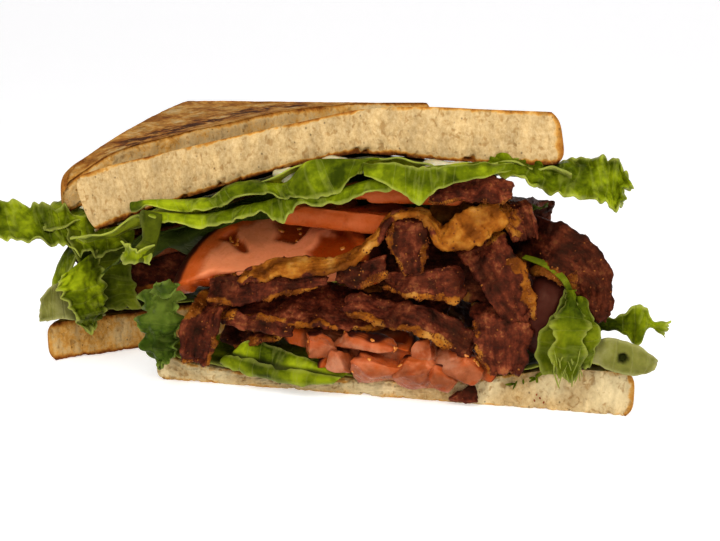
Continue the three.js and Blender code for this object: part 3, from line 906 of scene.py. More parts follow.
# %% Fat, specks and char of the bacon
crumbly = node(
    tree, "ShaderNodeMath", {0: crackle.outputs["Fac"], 1: 0.75, 2: fatness}, operation="MULTIPLY_ADD"
)
crumbly = node(
    tree, "ShaderNodeMath", {0: clots.outputs["Fac"], 1: 0.75, 2: crumbly.outputs[0]},
    operation="MULTIPLY_ADD",
)
fat_share = node(
    tree, "ShaderNodeMapRange", {"Value": crumbly.outputs[0], "From Min": 1.06, "From Max": 1.34}
)
streaky = node(
    tree, "ShaderNodeMixRGB",
    {"Fac": fat_share.outputs[0], "Color1": lean.outputs[0], "Color2": golden.outputs[0]},
)
fine = node(
    tree, "ShaderNodeTexNoise",
    {"Vector": coordinates["Object"], "Scale": SPECKS, "Detail": 2.0, "Roughness": 0.5},
)
crusted = node(
    tree, "ShaderNodeMath", {0: clots.outputs["Fac"], 1: 0.8, 2: fine.outputs["Fac"]},
    operation="MULTIPLY_ADD",
)
speck_share = node(
    tree, "ShaderNodeMapRange",
    {"Value": crusted.outputs[0], "From Min": 1.02, "From Max": 1.16, "To Max": 0.42},
)
streaky = node(
    tree, "ShaderNodeMixRGB",
    {"Fac": speck_share.outputs[0], "Color1": streaky.outputs[0], "Color2": srgb("#96643A")},
)
char_share = node(tree, "ShaderNodeMath", {0: charred, 1: 0.65}, operation="MULTIPLY")
browned = node(
    tree, "ShaderNodeMixRGB",
    {"Fac": char_share.outputs[0], "Color1": streaky.outputs[0], "Color2": srgb("#6A4438")},
    blend_type="MULTIPLY",
)
tree.links.new(browned.outputs[0], shader.inputs["Base Color"])

# %% [markdown]
# The film of grease is thin and patchy, so some spots shine and others stay dull. Crackle and
# fibres also dent the surface, by less than a millimetre.

# %% Grease and relief of the bacon
greasy = node(
    tree, "ShaderNodeMapRange",
    {"Value": crackle.outputs["Fac"], "From Min": 0.3, "From Max": 0.7, "To Min": 0.36, "To Max": 0.66},
)
tree.links.new(greasy.outputs[0], shader.inputs["Roughness"])
shader.inputs["Specular IOR Level"].default_value = 0.3
shader.inputs["Specular Tint"].default_value = srgb("#D8A27A")
shader.inputs["Subsurface Weight"].default_value = 0.06
shader.inputs["Subsurface Radius"].default_value = (1.0, 0.4, 0.2)
shader.inputs["Subsurface Scale"].default_value = 0.001
relief = node(
    tree, "ShaderNodeMath", {0: crackle.outputs["Fac"], 1: 0.9, 2: fibres.outputs["Fac"]},
    operation="MULTIPLY_ADD",
)
bumps = node(tree, "ShaderNodeBump", {"Height": relief.outputs[0], "Distance": 0.0009, "Strength": 0.65})
tree.links.new(bumps.outputs["Normal"], shader.inputs["Normal"])
print("material:", fried_bacon.name)

# %% [markdown]
# The filling is a heap of broken rashers, each with its own path from one end to the other. An
# across of HANGING turns a strip's width along the cut, so that it hangs like a curtain, and
# STANDING turns it upright on its edge. The golden one is nearly all fat; three run along the
# crust sides, and one ties the heap together inside.

# %% The front half's rashers
HANGING, STANDING = (1, 0.2, 0), (0, 0.35, 0.95)
FLANK_RIGHT, FLANK_LEFT = (1, 1, 0), (-1, 1, 0)
front_rashers = [
    dict(
        path=[
            (-47, -4, 37.5), (-40, -5, 41), (-32, -5, 43), (-16, -5, 44.6), (-8, -4, 48),
            (-1, -3, 53.5), (3, -2, 59.5), (10, -1, 62), (15, -1, 60), (19, -2, 55.5), (24, -3, 56),
            (30, -3, 59), (38, -1, 63),
        ],
        width=[5, 6, 7, 6, 6, 6, 6, 6, 7, 8, 11, 12, 10], crinkle=0.3, streaks=((0.5, 0.7),),
        across=[
            (0, 0.7, 0.8), (0, 0.7, 0.8), (0, 0.8, 0.6), (0, 1, 0.2), (0, 1, 0.1), (0, 0.4, 0.9),
            (0, 0.3, 0.95),
        ],
    ),
    dict(
        path=[(30, 30, 48), (40, 14, 52), (52, 0, 52), (61, -3, 48), (66, -4, 40), (66, -4, 31)],
        width=[20, 20, 17, 15, 14, 9], across=[(0, 0.3, 1), (0.3, 0.1, 1), (0.7, 0, 0.7), (1, 0, 0.1)],
        streaks=((0.06, 0.17),), char=0.95,
    ),
    dict(
        path=[(20, 30, 52), (26, 14, 54), (31, 0, 53), (39, -5, 43), (46, -6, 30)],
        width=[16, 16, 16, 15, 10],
        across=(0.85, 0.1, 0.5), streaks=((0.92, 0.2),), char=0.25,
    ),
    dict(
        path=[(34, 28, 30), (37, 12, 32), (38, -3, 31), (40, -8, 24), (41, -8.5, 14)],
        width=[20, 19, 18, 17, 13],
        across=HANGING, streaks=((0.02, 0.07),), crinkle=0.5, char=-0.6,
    ),
    dict(
        path=[(8, 0, 63), (9, -3, 56), (10, -5, 50), (11, -6, 43)],
        width=[13, 13, 12, 5], across=(1, 0.2, 0.2),
        streaks=((0.04, 0.06), (0.96, 0.12)), char=0.3,
    ),
    dict(
        path=[(-54, 24, 29), (-56, 8, 30), (-58, -4, 27), (-61, -7, 18), (-62, -7, 9)],
        width=[14, 14, 13, 12, 8],
        across=(1, 0.2, 0.3), cup=2.2, streaks=((0.05, 0.17), (0.97, 0.1)), char=0.35,
    ),
    dict(
        path=[(-58, -3, 34), (-48, -5, 34.8), (-38, -5, 37), (-28, -5, 39), (-17, -4, 40)],
        width=[9, 11, 10, 8, 6],
        across=(0, 0.4, 0.9), streaks=((0.02, 0.08), (0.98, 0.07)), char=0.2,
    ),
    dict(
        path=[(-14, -5, 42), (-6, -6, 42), (3, -6, 46)], width=[6, 9, 7], across=(0, 0.4, 0.9),
        streaks=((0.05, 0.2),),
    ),
    dict(
        path=[(15, -2, 68.5), (25, -4, 70.5), (33, -4, 70.5), (41, -2, 70)], width=[6, 9, 9, 7],
        across=STANDING, streaks=((0.03, 0.05),),
    ),
    dict(
        path=[(32, 40, 44), (31, 28, 52), (33, 14, 64), (40, 3, 65), (45, -1, 55)],
        width=[40, 42, 38, 13, 8], across=HANGING, streaks=((0.2, 0.2),), char=0.4,
    ),
    dict(
        path=[(1, -4, 40), (12, -6, 40), (20, -6, 40.5), (27, -4, 41)], width=[6, 8, 11, 11],
        across=STANDING, streaks=((0.03, 0.14),),
    ),
    dict(
        path=[(-12, -4, 31.5), (-2, -5, 31), (9, -6, 29.5), (20, -6, 26), (31, -6, 21)],
        width=[7, 9, 10, 9, 10],
        across=[(0, 0.6, 0.8), (0, 0.6, 0.8), (0.3, 0.3, 0.9)], streaks=((0.04, 0.16),), crinkle=1.4,
    ),
    dict(
        path=[(-54, 4, 30), (-38, 2, 29.5), (-22, 2, 29), (-10, 2, 29.5), (4, 4, 30), (20, 10, 30)],
        width=18, across=(0, 0.8, 0.6),
        streaks=((0.03, 0.06),),
    ),
    dict(
        path=[(-54, -4, 25), (-42, -6, 24.5), (-28, -6, 23)], width=[5, 6, 5], across=(0, 0.6, 0.8),
        streaks=((0.9, 0.3),), crinkle=0.6,
    ),
    dict(
        path=[(-56, 8, 18), (-44, 2, 20), (-34, 2, 24)], width=14, across=(0, 0.75, 0.6),
        streaks=((0.05, 0.12),),
    ),
    dict(
        path=[(54, 14, 18), (36, 32, 21), (18, 48, 22), (4, 60, 23)], width=26, across=FLANK_RIGHT,
        crinkle=2.2,
    ),
    dict(
        path=[(-44, 26, 35), (-30, 38, 37), (-16, 50, 39), (-4, 62, 40)], width=26, across=FLANK_LEFT,
        crinkle=2.2,
    ),
    dict(
        path=[(52, 16, 36), (36, 32, 38), (18, 48, 34), (0, 58, 30)], width=26, across=FLANK_RIGHT,
        crinkle=2.2,
    ),
    dict(
        path=[(-12, 12, 43), (10, 12, 44), (26, 10, 44), (42, 14, 40)], width=24, across=(0, 0.5, 1),
        char=0.6,
    ),
]
print(len(front_rashers), "rashers in the front half")

# %% [markdown]
# Crumbs of crisp fat will lie on the rashers that face us, thickest on their golden bands.
# Their spots are picked here, while each rasher still says where it is fat. The scrap lies
# on the base's cut face and is squeezed a little flatter than it was laid.

# %% Laying the front half's rashers
CRUMBS_ON_FAT, CRUMBS_EVERYWHERE = 80, 24
crumb_spots = []
for i, spec in enumerate(front_rashers):
    strip = rasher(phase=0.37 * i, **spec)
    in_sight = (points_of(strip)[:, 1] < 4) & (points_of(strip, "normal")[:, 1] < 0.2)
    crumb_spots += spots_on(strip, in_sight & (painted(strip, "fat") > 0.35), CRUMBS_ON_FAT, i)
    crumb_spots += spots_on(strip, in_sight, CRUMBS_EVERYWHERE, i + 50)
    settle(strip, f"rasher_front_{i + 1}", FRONT, "bacon", fried_bacon, f"front_bacon_{i + 1}")
scrap = rasher(
    path=[(22.5, -1.8, 0.6), (27, -2.2, 2.0), (31.5, -2.2, 3.2)], width=[1.5, 5.5, 8],
    across=(0.1, 0.15, 1), thick=1.3, streaks=(), phase=0.8, crinkle=0.3,
)
SCRAP_SQUEEZE, SCRAP_LIFT = (1, 1, 0.85), (0, 0, 1.7)
move_points(scrap, points_of(scrap) * SCRAP_SQUEEZE + SCRAP_LIFT)
settle(scrap, "rasher_scrap", FRONT, "bacon", fried_bacon, "front_bacon_scrap")

# %% [markdown]
# Of the rear half's rashers only the ends show between the halves, so six plain ones do.

# %% The rear half's rashers
rear_rashers = [
    dict(path=[(-66, 10, 34), (-40, 8, 33), (-12, 9, 33), (16, 8, 36), (42, 9, 38)], across=(0, 0.4, 0.9)),
    dict(path=[(-50, 14, 20), (-36, 28, 21), (-20, 42, 21), (-4, 58, 21)], across=FLANK_LEFT, crinkle=1.6),
    dict(path=[(-62, 4, 29), (-40, 0, 29), (-14, 2, 31)], width=16, across=(0, 0.6, 0.8)),
    dict(path=[(54, 14, 38), (38, 30, 38), (20, 46, 37), (4, 58, 36)], across=FLANK_RIGHT, crinkle=2.2),
    dict(path=[(-30, 38, 32), (-12, 44, 30), (10, 40, 30), (26, 30, 30)]),
    dict(path=[(58, 10, 22), (42, 26, 22), (24, 42, 22), (6, 56, 24)], across=FLANK_RIGHT, crinkle=2.2),
]
for i, spec in enumerate(rear_rashers):
    strip = rasher(**{"width": 24, "phase": 0.29 * i + 5, **spec})
    settle(strip, f"rasher_rear_{i + 1}", REAR, "bacon", fried_bacon, f"rear_bacon_{i + 1}")

# %% [markdown]
# Fried bacon sheds crumbs of crisp fat, which stick where they fall. Each crumb is a small
# lump, at most about a millimetre long, dry and matte, in the browns of fried fat.

# %% Bacon crumbs
TONES = 300.0  # in cells to the metre, tones that change every 3 mm
crisp_fat, tree, shader = new_material("crisp_bacon_crumb")
place = node(tree, "ShaderNodeTexCoord").outputs["Object"]
toned = node(tree, "ShaderNodeTexNoise", {"Vector": place, "Scale": TONES, "Detail": 2.0})
tones = node(
    tree, "ShaderNodeValToRGB", {"Fac": toned.outputs["Fac"]},
    stops=[(0.35, "#431C0B"), (0.5, "#6A3714"), (0.65, "#8C5826")],
)
tree.links.new(tones.outputs[0], shader.inputs["Base Color"])
shader.inputs["Roughness"].default_value = 0.7
shader.inputs["Specular IOR Level"].default_value = 0.15
crumbs = grains(crumb_spots, (0.4, 0.3, 0.24), 12)
settle(crumbs, "bacon_crumbs", FRONT, "bacon", crisp_fat)

# %% [markdown]
# A ripe tomato slice is wet. Its skin is a thin dark red line round a pale red wall about
# 6 mm thick; walls like spokes leave pockets between them, filled with orange-red gel and
# flat pale seeds. Half a slice starts as a cylinder cut by a bisect. After a voxel remesh the
# pockets are sunk into its two faces and its cut edge, and the front edge is let down.

# %% A half slice of tomato
def tilt(place, turn):
    """Stands a piece at place after turning it by degrees about x, then y, then z."""
    turned = [Matrix.Rotation(math.radians(angle), 4, axis) for angle, axis in zip(turn, "XYZ")]
    return Matrix.Translation(place) @ turned[2] @ turned[1] @ turned[0]


SAG_DEPTH = 9
POCKETS = 7
TOMATO_VOXEL = 0.8


def flat_tomato_half(radius, thick):
    """A plain half disc, its cut edge on the plane y = 0 and its upper face at z = 0."""
    bpy.ops.mesh.primitive_cylinder_add(vertices=96, radius=radius, depth=thick, location=(0, 0, -thick / 2))
    slice_ = bpy.context.object
    bpy.ops.object.transform_apply(location=True, rotation=True, scale=True)
    bpy.ops.object.mode_set(mode="EDIT")
    bpy.ops.mesh.select_all(action="SELECT")
    bpy.ops.mesh.bisect(plane_co=(0, 0, 0), plane_no=(0, 1, 0), use_fill=True, clear_inner=True)
    bpy.ops.object.mode_set(mode="OBJECT")
    apply_modifier(slice_, "REMESH", mode="VOXEL", voxel_size=TOMATO_VOXEL)
    return slice_


def tomato_half(radius, thick=7.0, sag=0.0, seed=0.0, chop=1.0, outer=0.0, skin_coloured_shade=0.0):
    """
    Half a slice of tomato. sag lets its front edge down, and chop roughens it there. outer
    makes it a slice from near the skin, all wall, and the last argument spreads the dark skin
    colour over all of it as painted shade.
    """
    slice_ = flat_tomato_half(radius, thick)
    flat = points_of(slice_)
    x, y, z = flat.T
    out = np.hypot(x, y) / radius
    height = np.clip(1 + z / thick, 0, 1)
    turn = np.arctan2(y, x) + seed
    swing = 0.25 * lumps(np.c_[np.cos(turn) * 2, np.sin(turn) * 2, 0 * x + seed], 1.0)
    spoke = np.abs(np.mod(POCKETS * (turn + swing) / math.pi, 2) - 1)
    ring = smooth(0.36, 0.46, out + 0.08 * lumps(flat, radius / 3, seed)) * smooth(0.84, 0.76, out)
    pocket = ring * smooth(0.45, 0.65, spoke + 0.2 * lumps(flat, 5, seed + 1))
    on_face = smooth(0.25, 0.0, np.minimum(height, 1 - height))
    at_cut = smooth(1.2, 0.2, y)
    skin = smooth(0.93, 0.985, out + 0.01 * lumps(flat, 6, seed))
    rounding = 1 - 0.09 * (2 * height - 1) ** 2 * smooth(0.7, 1.0, out)
    dig = 2.0 * pocket * on_face + 0.25 * lumps(flat, 5, seed) * on_face * (1 - skin)
    new_z = z + np.where(height > 0.5, -1, 1) * dig
    block_places = np.c_[x + 1.5 * lumps(flat, 4, seed), z * 0.6, 0 * x + seed] / 7.5
    blocks = np.array([noise.cell(Vector(p)) for p in block_places]) - 0.5
    uneven = 2.0 * pocket + 2.2 * blocks + 0.6 * lumps(flat, (9, 9, 6), seed + 2)
    chopped = chop * at_cut * (uneven + 0.3 * lumps(flat, 2.5, seed + 3))
    new_y = y * rounding + chopped + 0.8 * at_cut * (2 * height - 1) ** 2
    new_z -= sag * np.maximum(0, 1 - y / SAG_DEPTH) ** 2
    move_points(slice_, np.c_[x * rounding, new_y, new_z])
    apply_modifier(slice_, "SMOOTH", factor=0.5, iterations=2)
    # Painted shade: the skin value also darkens a whole slice that stands in deep shade.
    paint(slice_, "skin", np.maximum(skin, skin_coloured_shade))
    paint(slice_, "gel", pocket * np.maximum(on_face, at_cut) * (1 - outer))
    paint(slice_, "wall", np.maximum(smooth(0.66, 0.78, out + 0.03 * lumps(flat, 5, seed)), outer))
    return slice_


print("a slice of tomato has", POCKETS, "pockets in each half")

# %% [markdown]
# The low slices were chopped before they went in, so boxy pieces stick out of them. Each is a
# ball pushed towards a box, which random planes then cut flat. Real cuts with a boolean would
# give sharper edges than soft flesh has.

# %% A chopped piece of tomato
def tomato_chunk(size, place, turn, seed, rind=1.0):
    """A piece chopped from a slice, with a few flat cuts at random. rind colours its upper side."""
    bpy.ops.mesh.primitive_ico_sphere_add(subdivisions=5, radius=1)
    chunk = bpy.context.object
    chance = np.random.default_rng(round(seed * 10))
    ball = points_of(chunk)
    share = 0.5 * np.sign(ball) * np.abs(ball) ** 0.6
    for direction in unit(chance.normal(size=(7, 3))):
        over = np.maximum(0, share @ direction - chance.uniform(0.26, 0.42))
        share = share - 0.9 * np.outer(over, direction)
    solid = share * size
    swell = 0.5 * lumps(solid, (4, 4, 3), seed) + 0.22 * lumps(solid, 1.5, seed + 1)
    move_points(chunk, solid + unit(solid) * swell[:, None])
    edge = share[:, 2] + 0.5 + 0.08 * lumps(solid, 5, seed + 2)
    paint(chunk, "skin", rind * smooth(0.9, 0.96, edge))
    paint(chunk, "wall", 0.6 * rind * smooth(0.5, 0.85, edge + 0.1 * lumps(solid, 3, seed + 4)))
    paint(chunk, "gel", 0.5 * rind * smooth(0.15, 0.5, lumps(solid, 4, seed + 3)))
    chunk.data.transform(tilt(place, turn))
    return chunk


print("chopped pieces are ready")

# %% [markdown]
# Tomato flesh is mostly water: light goes in and comes out redder, so it has subsurface
# scattering and a smooth, wet surface. The gel is darker and glossier, the skin darker still.

# %% Tomato
# Scales are in cells to the metre: uneven flesh of 9 mm and a wet grain of 2.4 mm.
UNEVEN_FLESH, WET_GRAIN = 110.0, 420.0
ripe_tomato, tree, shader = new_material("cut_ripe_tomato")
place = node(tree, "ShaderNodeTexCoord").outputs["Object"]
skin = node(tree, "ShaderNodeAttribute", attribute_name="skin").outputs["Fac"]
gel = node(tree, "ShaderNodeAttribute", attribute_name="gel").outputs["Fac"]
wall = node(tree, "ShaderNodeAttribute", attribute_name="wall").outputs["Fac"]
flesh_noise = node(
    tree, "ShaderNodeTexNoise", {"Vector": place, "Scale": UNEVEN_FLESH, "Detail": 5.0, "Roughness": 0.6}
)
fine_noise = node(tree, "ShaderNodeTexNoise", {"Vector": place, "Scale": WET_GRAIN, "Detail": 2.0})
flesh = node(
    tree, "ShaderNodeValToRGB", {"Fac": flesh_noise.outputs["Fac"]},
    stops=[(0.38, "#6E381C"), (0.5, "#8A4E30"), (0.62, "#A46E52")],
)
wall_share = node(tree, "ShaderNodeMath", {0: wall, 1: 0.85}, operation="MULTIPLY")
walled = node(
    tree, "ShaderNodeMixRGB",
    {"Fac": wall_share.outputs[0], "Color1": flesh.outputs[0], "Color2": srgb("#B5541C")},
)
# Painted light: this painted value mixes the flesh towards a light orange pink.
painted_light = node(tree, "ShaderNodeAttribute", attribute_name="painted_light").outputs["Fac"]
lightened_flesh = node(tree, "ShaderNodeMixRGB", {"Fac": painted_light, "Color1": walled.outputs[0], "Color2": srgb("#E18A5E")})
gelled = node(tree, "ShaderNodeMixRGB", {"Fac": gel, "Color1": lightened_flesh.outputs[0], "Color2": srgb("#8E3A0C")})
# Near-black red: the skin itself, and the painted shade that the skin value carries on the slice in deep
# shade.
skinned = node(
    tree, "ShaderNodeMixRGB", {"Fac": skin, "Color1": gelled.outputs[0], "Color2": srgb("#35100A")}
)
tree.links.new(skinned.outputs[0], shader.inputs["Base Color"])
wet = node(
    tree, "ShaderNodeMapRange",
    {"Value": fine_noise.outputs["Fac"], "From Min": 0.3, "From Max": 0.7, "To Min": 0.14, "To Max": 0.5},
)
waxy = node(tree, "ShaderNodeMath", {0: skin, 1: 0.25, 2: wet.outputs[0]}, operation="MULTIPLY_ADD")
tree.links.new(waxy.outputs[0], shader.inputs["Roughness"])
shader.inputs["Specular IOR Level"].default_value = 0.42
shader.inputs["Specular Tint"].default_value = srgb("#E8B090")
shader.inputs["Subsurface Weight"].default_value = 0.14
shader.inputs["Subsurface Radius"].default_value = (1.0, 0.35, 0.15)
shader.inputs["Subsurface Scale"].default_value = 0.002
bumps = node(
    tree, "ShaderNodeBump", {"Height": fine_noise.outputs["Fac"], "Distance": 0.0005, "Strength": 0.3}
)
tree.links.new(bumps.outputs["Normal"], shader.inputs["Normal"])
print("material:", ripe_tomato.name)

# %% [markdown]
# Each slice has its size, its place and its turn in degrees. The large one leans at the left
# under the leaves, its flesh lightened with painted light, two small outer slices lie above it,
# three low ones are chopped, and one stands on its edge at the right with its skin towards us,
# painted dark all over as shade. Seeds lie where the gel is strong enough, up to so many
# millimetres from the cut, and at most so many on one slice.

# %% The tomato slices
HIGH_SEEDS, LOW_SEEDS = (0.8, 24, 22), (0.3, 2, 9)
tomatoes = [
    ("front", 1, dict(radius=37, seed=0.4, chop=0.8), (-37, 0, 40), (38, -6, 0)),
    ("front", 2, dict(radius=24, seed=1.1, chop=0.4, outer=0.9), (-13, 3, 60.8), (6, 3, -6)),
    ("front", 3, dict(radius=22, thick=5, seed=2.3, chop=0.3, outer=0.9), (4, 1, 69), (2, 0, 0)),
    ("front", 4, dict(radius=27, thick=8, sag=3, seed=3.0, chop=1.3), (6, -1, 16), (6, 3, 3)),
    ("front", 5, dict(radius=23, thick=7, sag=2, seed=4.2, chop=1.3), (-10, -1, 22), (6, 6, -4)),
    ("front", 6, dict(radius=13, thick=8, sag=1, seed=5.0, chop=1.2), (26, 0, 19), (4, 10, 0)),
    ("front", 7, dict(radius=16, thick=10, seed=6.1, skin_coloured_shade=0.9), (49, 11, 32), (0, 80, 165)),
    ("rear", 1, dict(radius=35, seed=7.3), (-28, 1, 42), (10, -6, 0)),
    ("rear", 2, dict(radius=33, seed=8.5), (38, 1, 54), (6, -6, 0)),
]
chunks = {
    4: [
        dict(size=(20, 11, 12), place=(-2, -4, 11), turn=(10, 6, 12)),
        dict(size=(15, 11, 11), place=(12, -5, 10.8), turn=(-8, -6, -14)),
        dict(size=(12, 9, 8), place=(22, -5, 10), turn=(0, 22, 10)),
    ],
    5: [
        dict(size=(11, 10, 10), place=(-20, -4, 17), turn=(0, -8, 16)),
        dict(size=(24, 9, 7), place=(-6, -4, 19.3), turn=(10, 8, -6)),
        dict(size=(10, 9, 8), place=(-13, -4, 13.4), turn=(8, 16, 24), rind=0.5),
    ],
    6: [
        dict(size=(17, 10, 10), place=(26, -4, 15.2), turn=(6, 16, -10)),
        dict(size=(10, 9, 9), place=(15, -3, 18), turn=(0, -10, 18)),
    ],
}
# Painted light: how far each slice's flesh is lightened, much on the large slice in the lid's shade, a
# little on the others.
LARGE_SLICE_LIGHT, OTHER_SLICES_LIGHT = 0.78, 0.05
seed_spots = []
for half, number, shape, where, turn in tomatoes:
    in_front = half == "front"
    slice_ = tomato_half(**shape)
    slice_.data.transform(tilt(where, turn))
    if in_front and number in chunks:
        pieces = [tomato_chunk(seed=number + 0.1 * i, **spec) for i, spec in enumerate(chunks[number])]
        slice_ = joined(slice_, *pieces)
    light_share = LARGE_SLICE_LIGHT if in_front and number == 1 else OTHER_SLICES_LIGHT
    paint(slice_, "painted_light", light_share * (1 - painted(slice_, "wall")))
    if in_front:
        strong, reach, most = HIGH_SEEDS if number < 4 else LOW_SEEDS
        in_gel = painted(slice_, "gel") > strong
        near_cut = points_of(slice_)[:, 1] < reach
        seed_spots += spots_on(slice_, in_gel & near_cut, most, number)
    to_half = FRONT if in_front else REAR
    settle(slice_, f"tomato_{half}_{number}", to_half, "tomato", ripe_tomato, f"{half}_tomato_{number}")

# %% [markdown]
# Tomato seeds are flat drops of about 2.5 mm in a slippery coat, so they shine. They lie in
# the pockets' gel, where the slices' painted gel values say that a pocket is in sight.

# %% Tomato seeds
seed_coat, tree, shader = new_material("wet_tomato_seed")
shader.inputs["Base Color"].default_value = srgb("#C27A34")
shader.inputs["Roughness"].default_value = 0.2
shader.inputs["Subsurface Weight"].default_value = 0.2
shader.inputs["Subsurface Scale"].default_value = 0.001
seeds = grains(seed_spots, (1.1, 0.75, 0.45), 11, rounds=2)
settle(seeds, "tomato_seeds", FRONT, "tomato", seed_coat)

# %% [markdown]
# Green leaf lettuce is a sheet well under a millimetre thick that has grown more edge than
# it has room for, so it ruffles towards its rim. Each leaf is laid between two lines: the
# grid runs along them, its free edges get waves that grow outwards and a ragged outline, and
# Solidify gives it thickness. A cloth simulation would also fold it, but not where we want.

# %% A leaf between two lines
LEAF_THICK = 0.7
HOLE_SINK = 2.2


def thicken(leaf):
    apply_modifier(leaf, "SOLIDIFY", thickness=LEAF_THICK, offset=0.0)
    apply_modifier(leaf, "SUBSURF", levels=1, render_levels=1)
    face_outwards(leaf)


def dim(leaf, share):
    """Darkens a whole piece of leaf that lies in the shade of others."""
    paint(leaf, "painted_shade", np.full(len(leaf.data.vertices), share))


def leaf_between(
    lower, upper, free="lower", bulge=0.0, ruffle=1.6, wave_length=8.0, lobes=1.0, frill=0.0, seed=0.0,
    cell=1.1, painted_shade=None,
):
    """
    A leaf whose lower and upper lines are paths of as many points; free says which edges are
    loose. ruffle is how far those wave, frill how far it crinkles, most at its edges, and
    lobes how ragged its outline is. The last argument gives the middle and radius of a hole that
    is sunk and darkened with painted shade.
    """
    middle = (np.array(lower, float) + np.array(upper, float)) / 2
    length = length_of(middle)
    width = float(np.linalg.norm(np.array(upper, float) - np.array(lower, float), axis=1).max())
    cells = (max(8, round(length / cell)), max(6, round(width / cell)))

    def lay(u, v):
        a, b = through(lower, u), through(upper, u)
        along = unit(through(middle, np.minimum(u + 0.02, 1)) - through(middle, np.maximum(u - 0.02, 0)))
        span = b - a
        out = unit(np.cross(along, unit(span)))
        low_edge = (1 - v) ** 2 if "lower" in free else 0 * v
        high_edge = v**2 if "upper" in free else 0 * v
        ends = smooth(0.16, 0.0, u) * ("start" in free) + smooth(0.84, 1.0, u) * ("end" in free)
        loose = np.maximum.reduce([low_edge, high_edge, ends])
        flat = np.c_[u * length, v * width, 0 * u + seed * 50]
        waves = 1.5 * lumps(flat, (wave_length, width * 1.5, 1))
        waves = waves + 0.6 * lumps(flat, (wave_length * 0.36, width * 0.7, 1), 2)
        crinkles = lumps(flat, 2.6, 8) + 0.5 * lumps(flat, 1.3, 9)
        lift = bulge * np.sin(math.pi * v) + ruffle * loose * waves
        lift = lift + frill * (0.35 + loose**2) * crinkles + 0.3 * lumps(flat, 4.0, 3)
        long_way, short_way = flat * (1, 0, 1), flat * (0, 1, 1)
        jag = lobes * (1.1 * lumps(long_way, (5.0, 1, 1), 4) + lumps(long_way, (1.9, 1, 1), 5))
        jag_end = lobes * (1.3 * lumps(short_way, (1, 4.0, 1), 6) + lumps(short_way, (1, 1.6, 1), 7))
        place = a + span * v[:, None] + out * lift[:, None]
        place += unit(span) * (jag * (high_edge**2 - low_edge**2))[:, None]
        return place + along * (jag_end * ends * np.sign(u - 0.5))[:, None]

    leaf, u, v = laid_grid(cells, (length, width), lay)
    to_edge = {"lower": v * width, "upper": (1 - v) * width, "start": u * length, "end": (1 - u) * length}
    edges = [distance for edge, distance in to_edge.items() if edge in free]
    paint(leaf, "rim", smooth(1.5, 0.2, np.minimum.reduce(edges)) if edges else 0 * u)
    # Painted shade: the hole is sunk a little and painted dark.
    if painted_shade:
        middle, radius = painted_shade
        near = smooth(radius, 0.8 * radius, np.linalg.norm(points_of(leaf) - middle, axis=1))
        move_points(leaf, points_of(leaf) + np.outer(near, (0, HOLE_SINK, 0)))
        paint(leaf, "painted_shade", near)
    thicken(leaf)
    return leaf


print("leaves are", LEAF_THICK, "mm thick")

# %% [markdown]
# The leaves under a lid and on a base lie across the whole half, and only their rims show.
# Such a leaf is a sheet over the half slice's own triangle, at a height that a function gives.

# %% A leaf lying across a half sandwich
LAYER_CELLS = (110, 44)
DROOP_REACH = 22
FRONT_REACH = 12


def leaf_layer(height, grow=2.0, shift=0.0, ripple=1.2, phase=0.0, ruffle=2.2, droop=0.0, front=None):
    """
    A whole leaf at height(x, y), which stands out of the slices by grow, ruffled at its rim,
    which hangs down by droop over the crust sides. front is a line that its front edge follows.
    """

    def lay(u, v):
        x = CUT_END * np.sin(math.pi * (u - 0.5))
        scale = 1 + grow / CUT_END
        y = v * half_depth(x) * scale - (1 - v) * grow
        x = x * scale
        flat = np.c_[x, y, 0 * x + phase * 60]
        to_crust = (half_depth(x) - y) / math.sqrt(2)
        rim = smooth(9, 0, np.minimum.reduce([y + grow, to_crust + grow, CUT_END - np.abs(x) + grow]))
        swell = ripple * wave((x + 0.6 * y) / 38 + phase) * wave((y - 0.3 * x) / 52 + phase)
        ruffles = lumps(flat, 9.0) + 0.4 * lumps(flat, 3.6, 1)
        swell = swell + ruffle * rim**1.5 * ruffles + 0.5 * lumps(flat, 6, 2)
        jag = rim**2 * (lumps(flat, 4.5, 3) + 0.7 * lumps(flat, 1.8, 4))
        outer = np.minimum((half_depth(x / scale) - y) / math.sqrt(2), CUT_END - np.abs(x)) + grow
        hang = droop * np.clip(1 - outer / DROOP_REACH, 0, 1) ** 1.3 * (1 + 0.35 * lumps(flat, 14.0, 5))
        place = np.c_[x + shift, y - jag, height(x + shift, y) + swell - hang]
        if front is not None:
            near = smooth(FRONT_REACH, 0, y + grow) * smooth(front[0][0] - 6, front[0][0] + 2, x + shift)
            near = near * smooth(front[-1][0] + 6, front[-1][0] - 2, x + shift)
            edge = place[:, 0]
            place[:, 1] += near * (line_at(edge, front, 1) + grow - 0.4 * (y + grow))
            place[:, 2] += near * (line_at(edge, front, 2) - height(edge, 0 * y))
        return place

    leaf, u, v = laid_grid(LAYER_CELLS, (2 * CUT_END, HALF_DIAGONAL), lay)
    x = CUT_END * np.sin(math.pi * (u - 0.5))
    inside = np.minimum.reduce([v * half_depth(x), (1 - v) * half_depth(x), CUT_END - np.abs(x)])
    paint(leaf, "rim", smooth(1.8, 0.3, inside))
    thicken(leaf)
    return leaf


print("a leaf layer is a sheet of", LAYER_CELLS[0] * LAYER_CELLS[1], "cells")

# %% [markdown]
# A fresh lettuce leaf is waxy and thin enough to glow when light comes through it. It is
# yellow-green over its face and paler along its cut rim. Faint paler veins run from the rib
# to the rim, close together and almost parallel: they are where a stretched noise crosses
# its middle value. The stretching needs the leaf's own UV map, which is in millimetres.

# %% Lettuce
PATCHES = 85.0  # in cells to the metre, patches of 12 mm
VEINS = (0.14, 0.03, 1.0)  # in cells to the millimetre, across and along: 7 mm by 33 mm


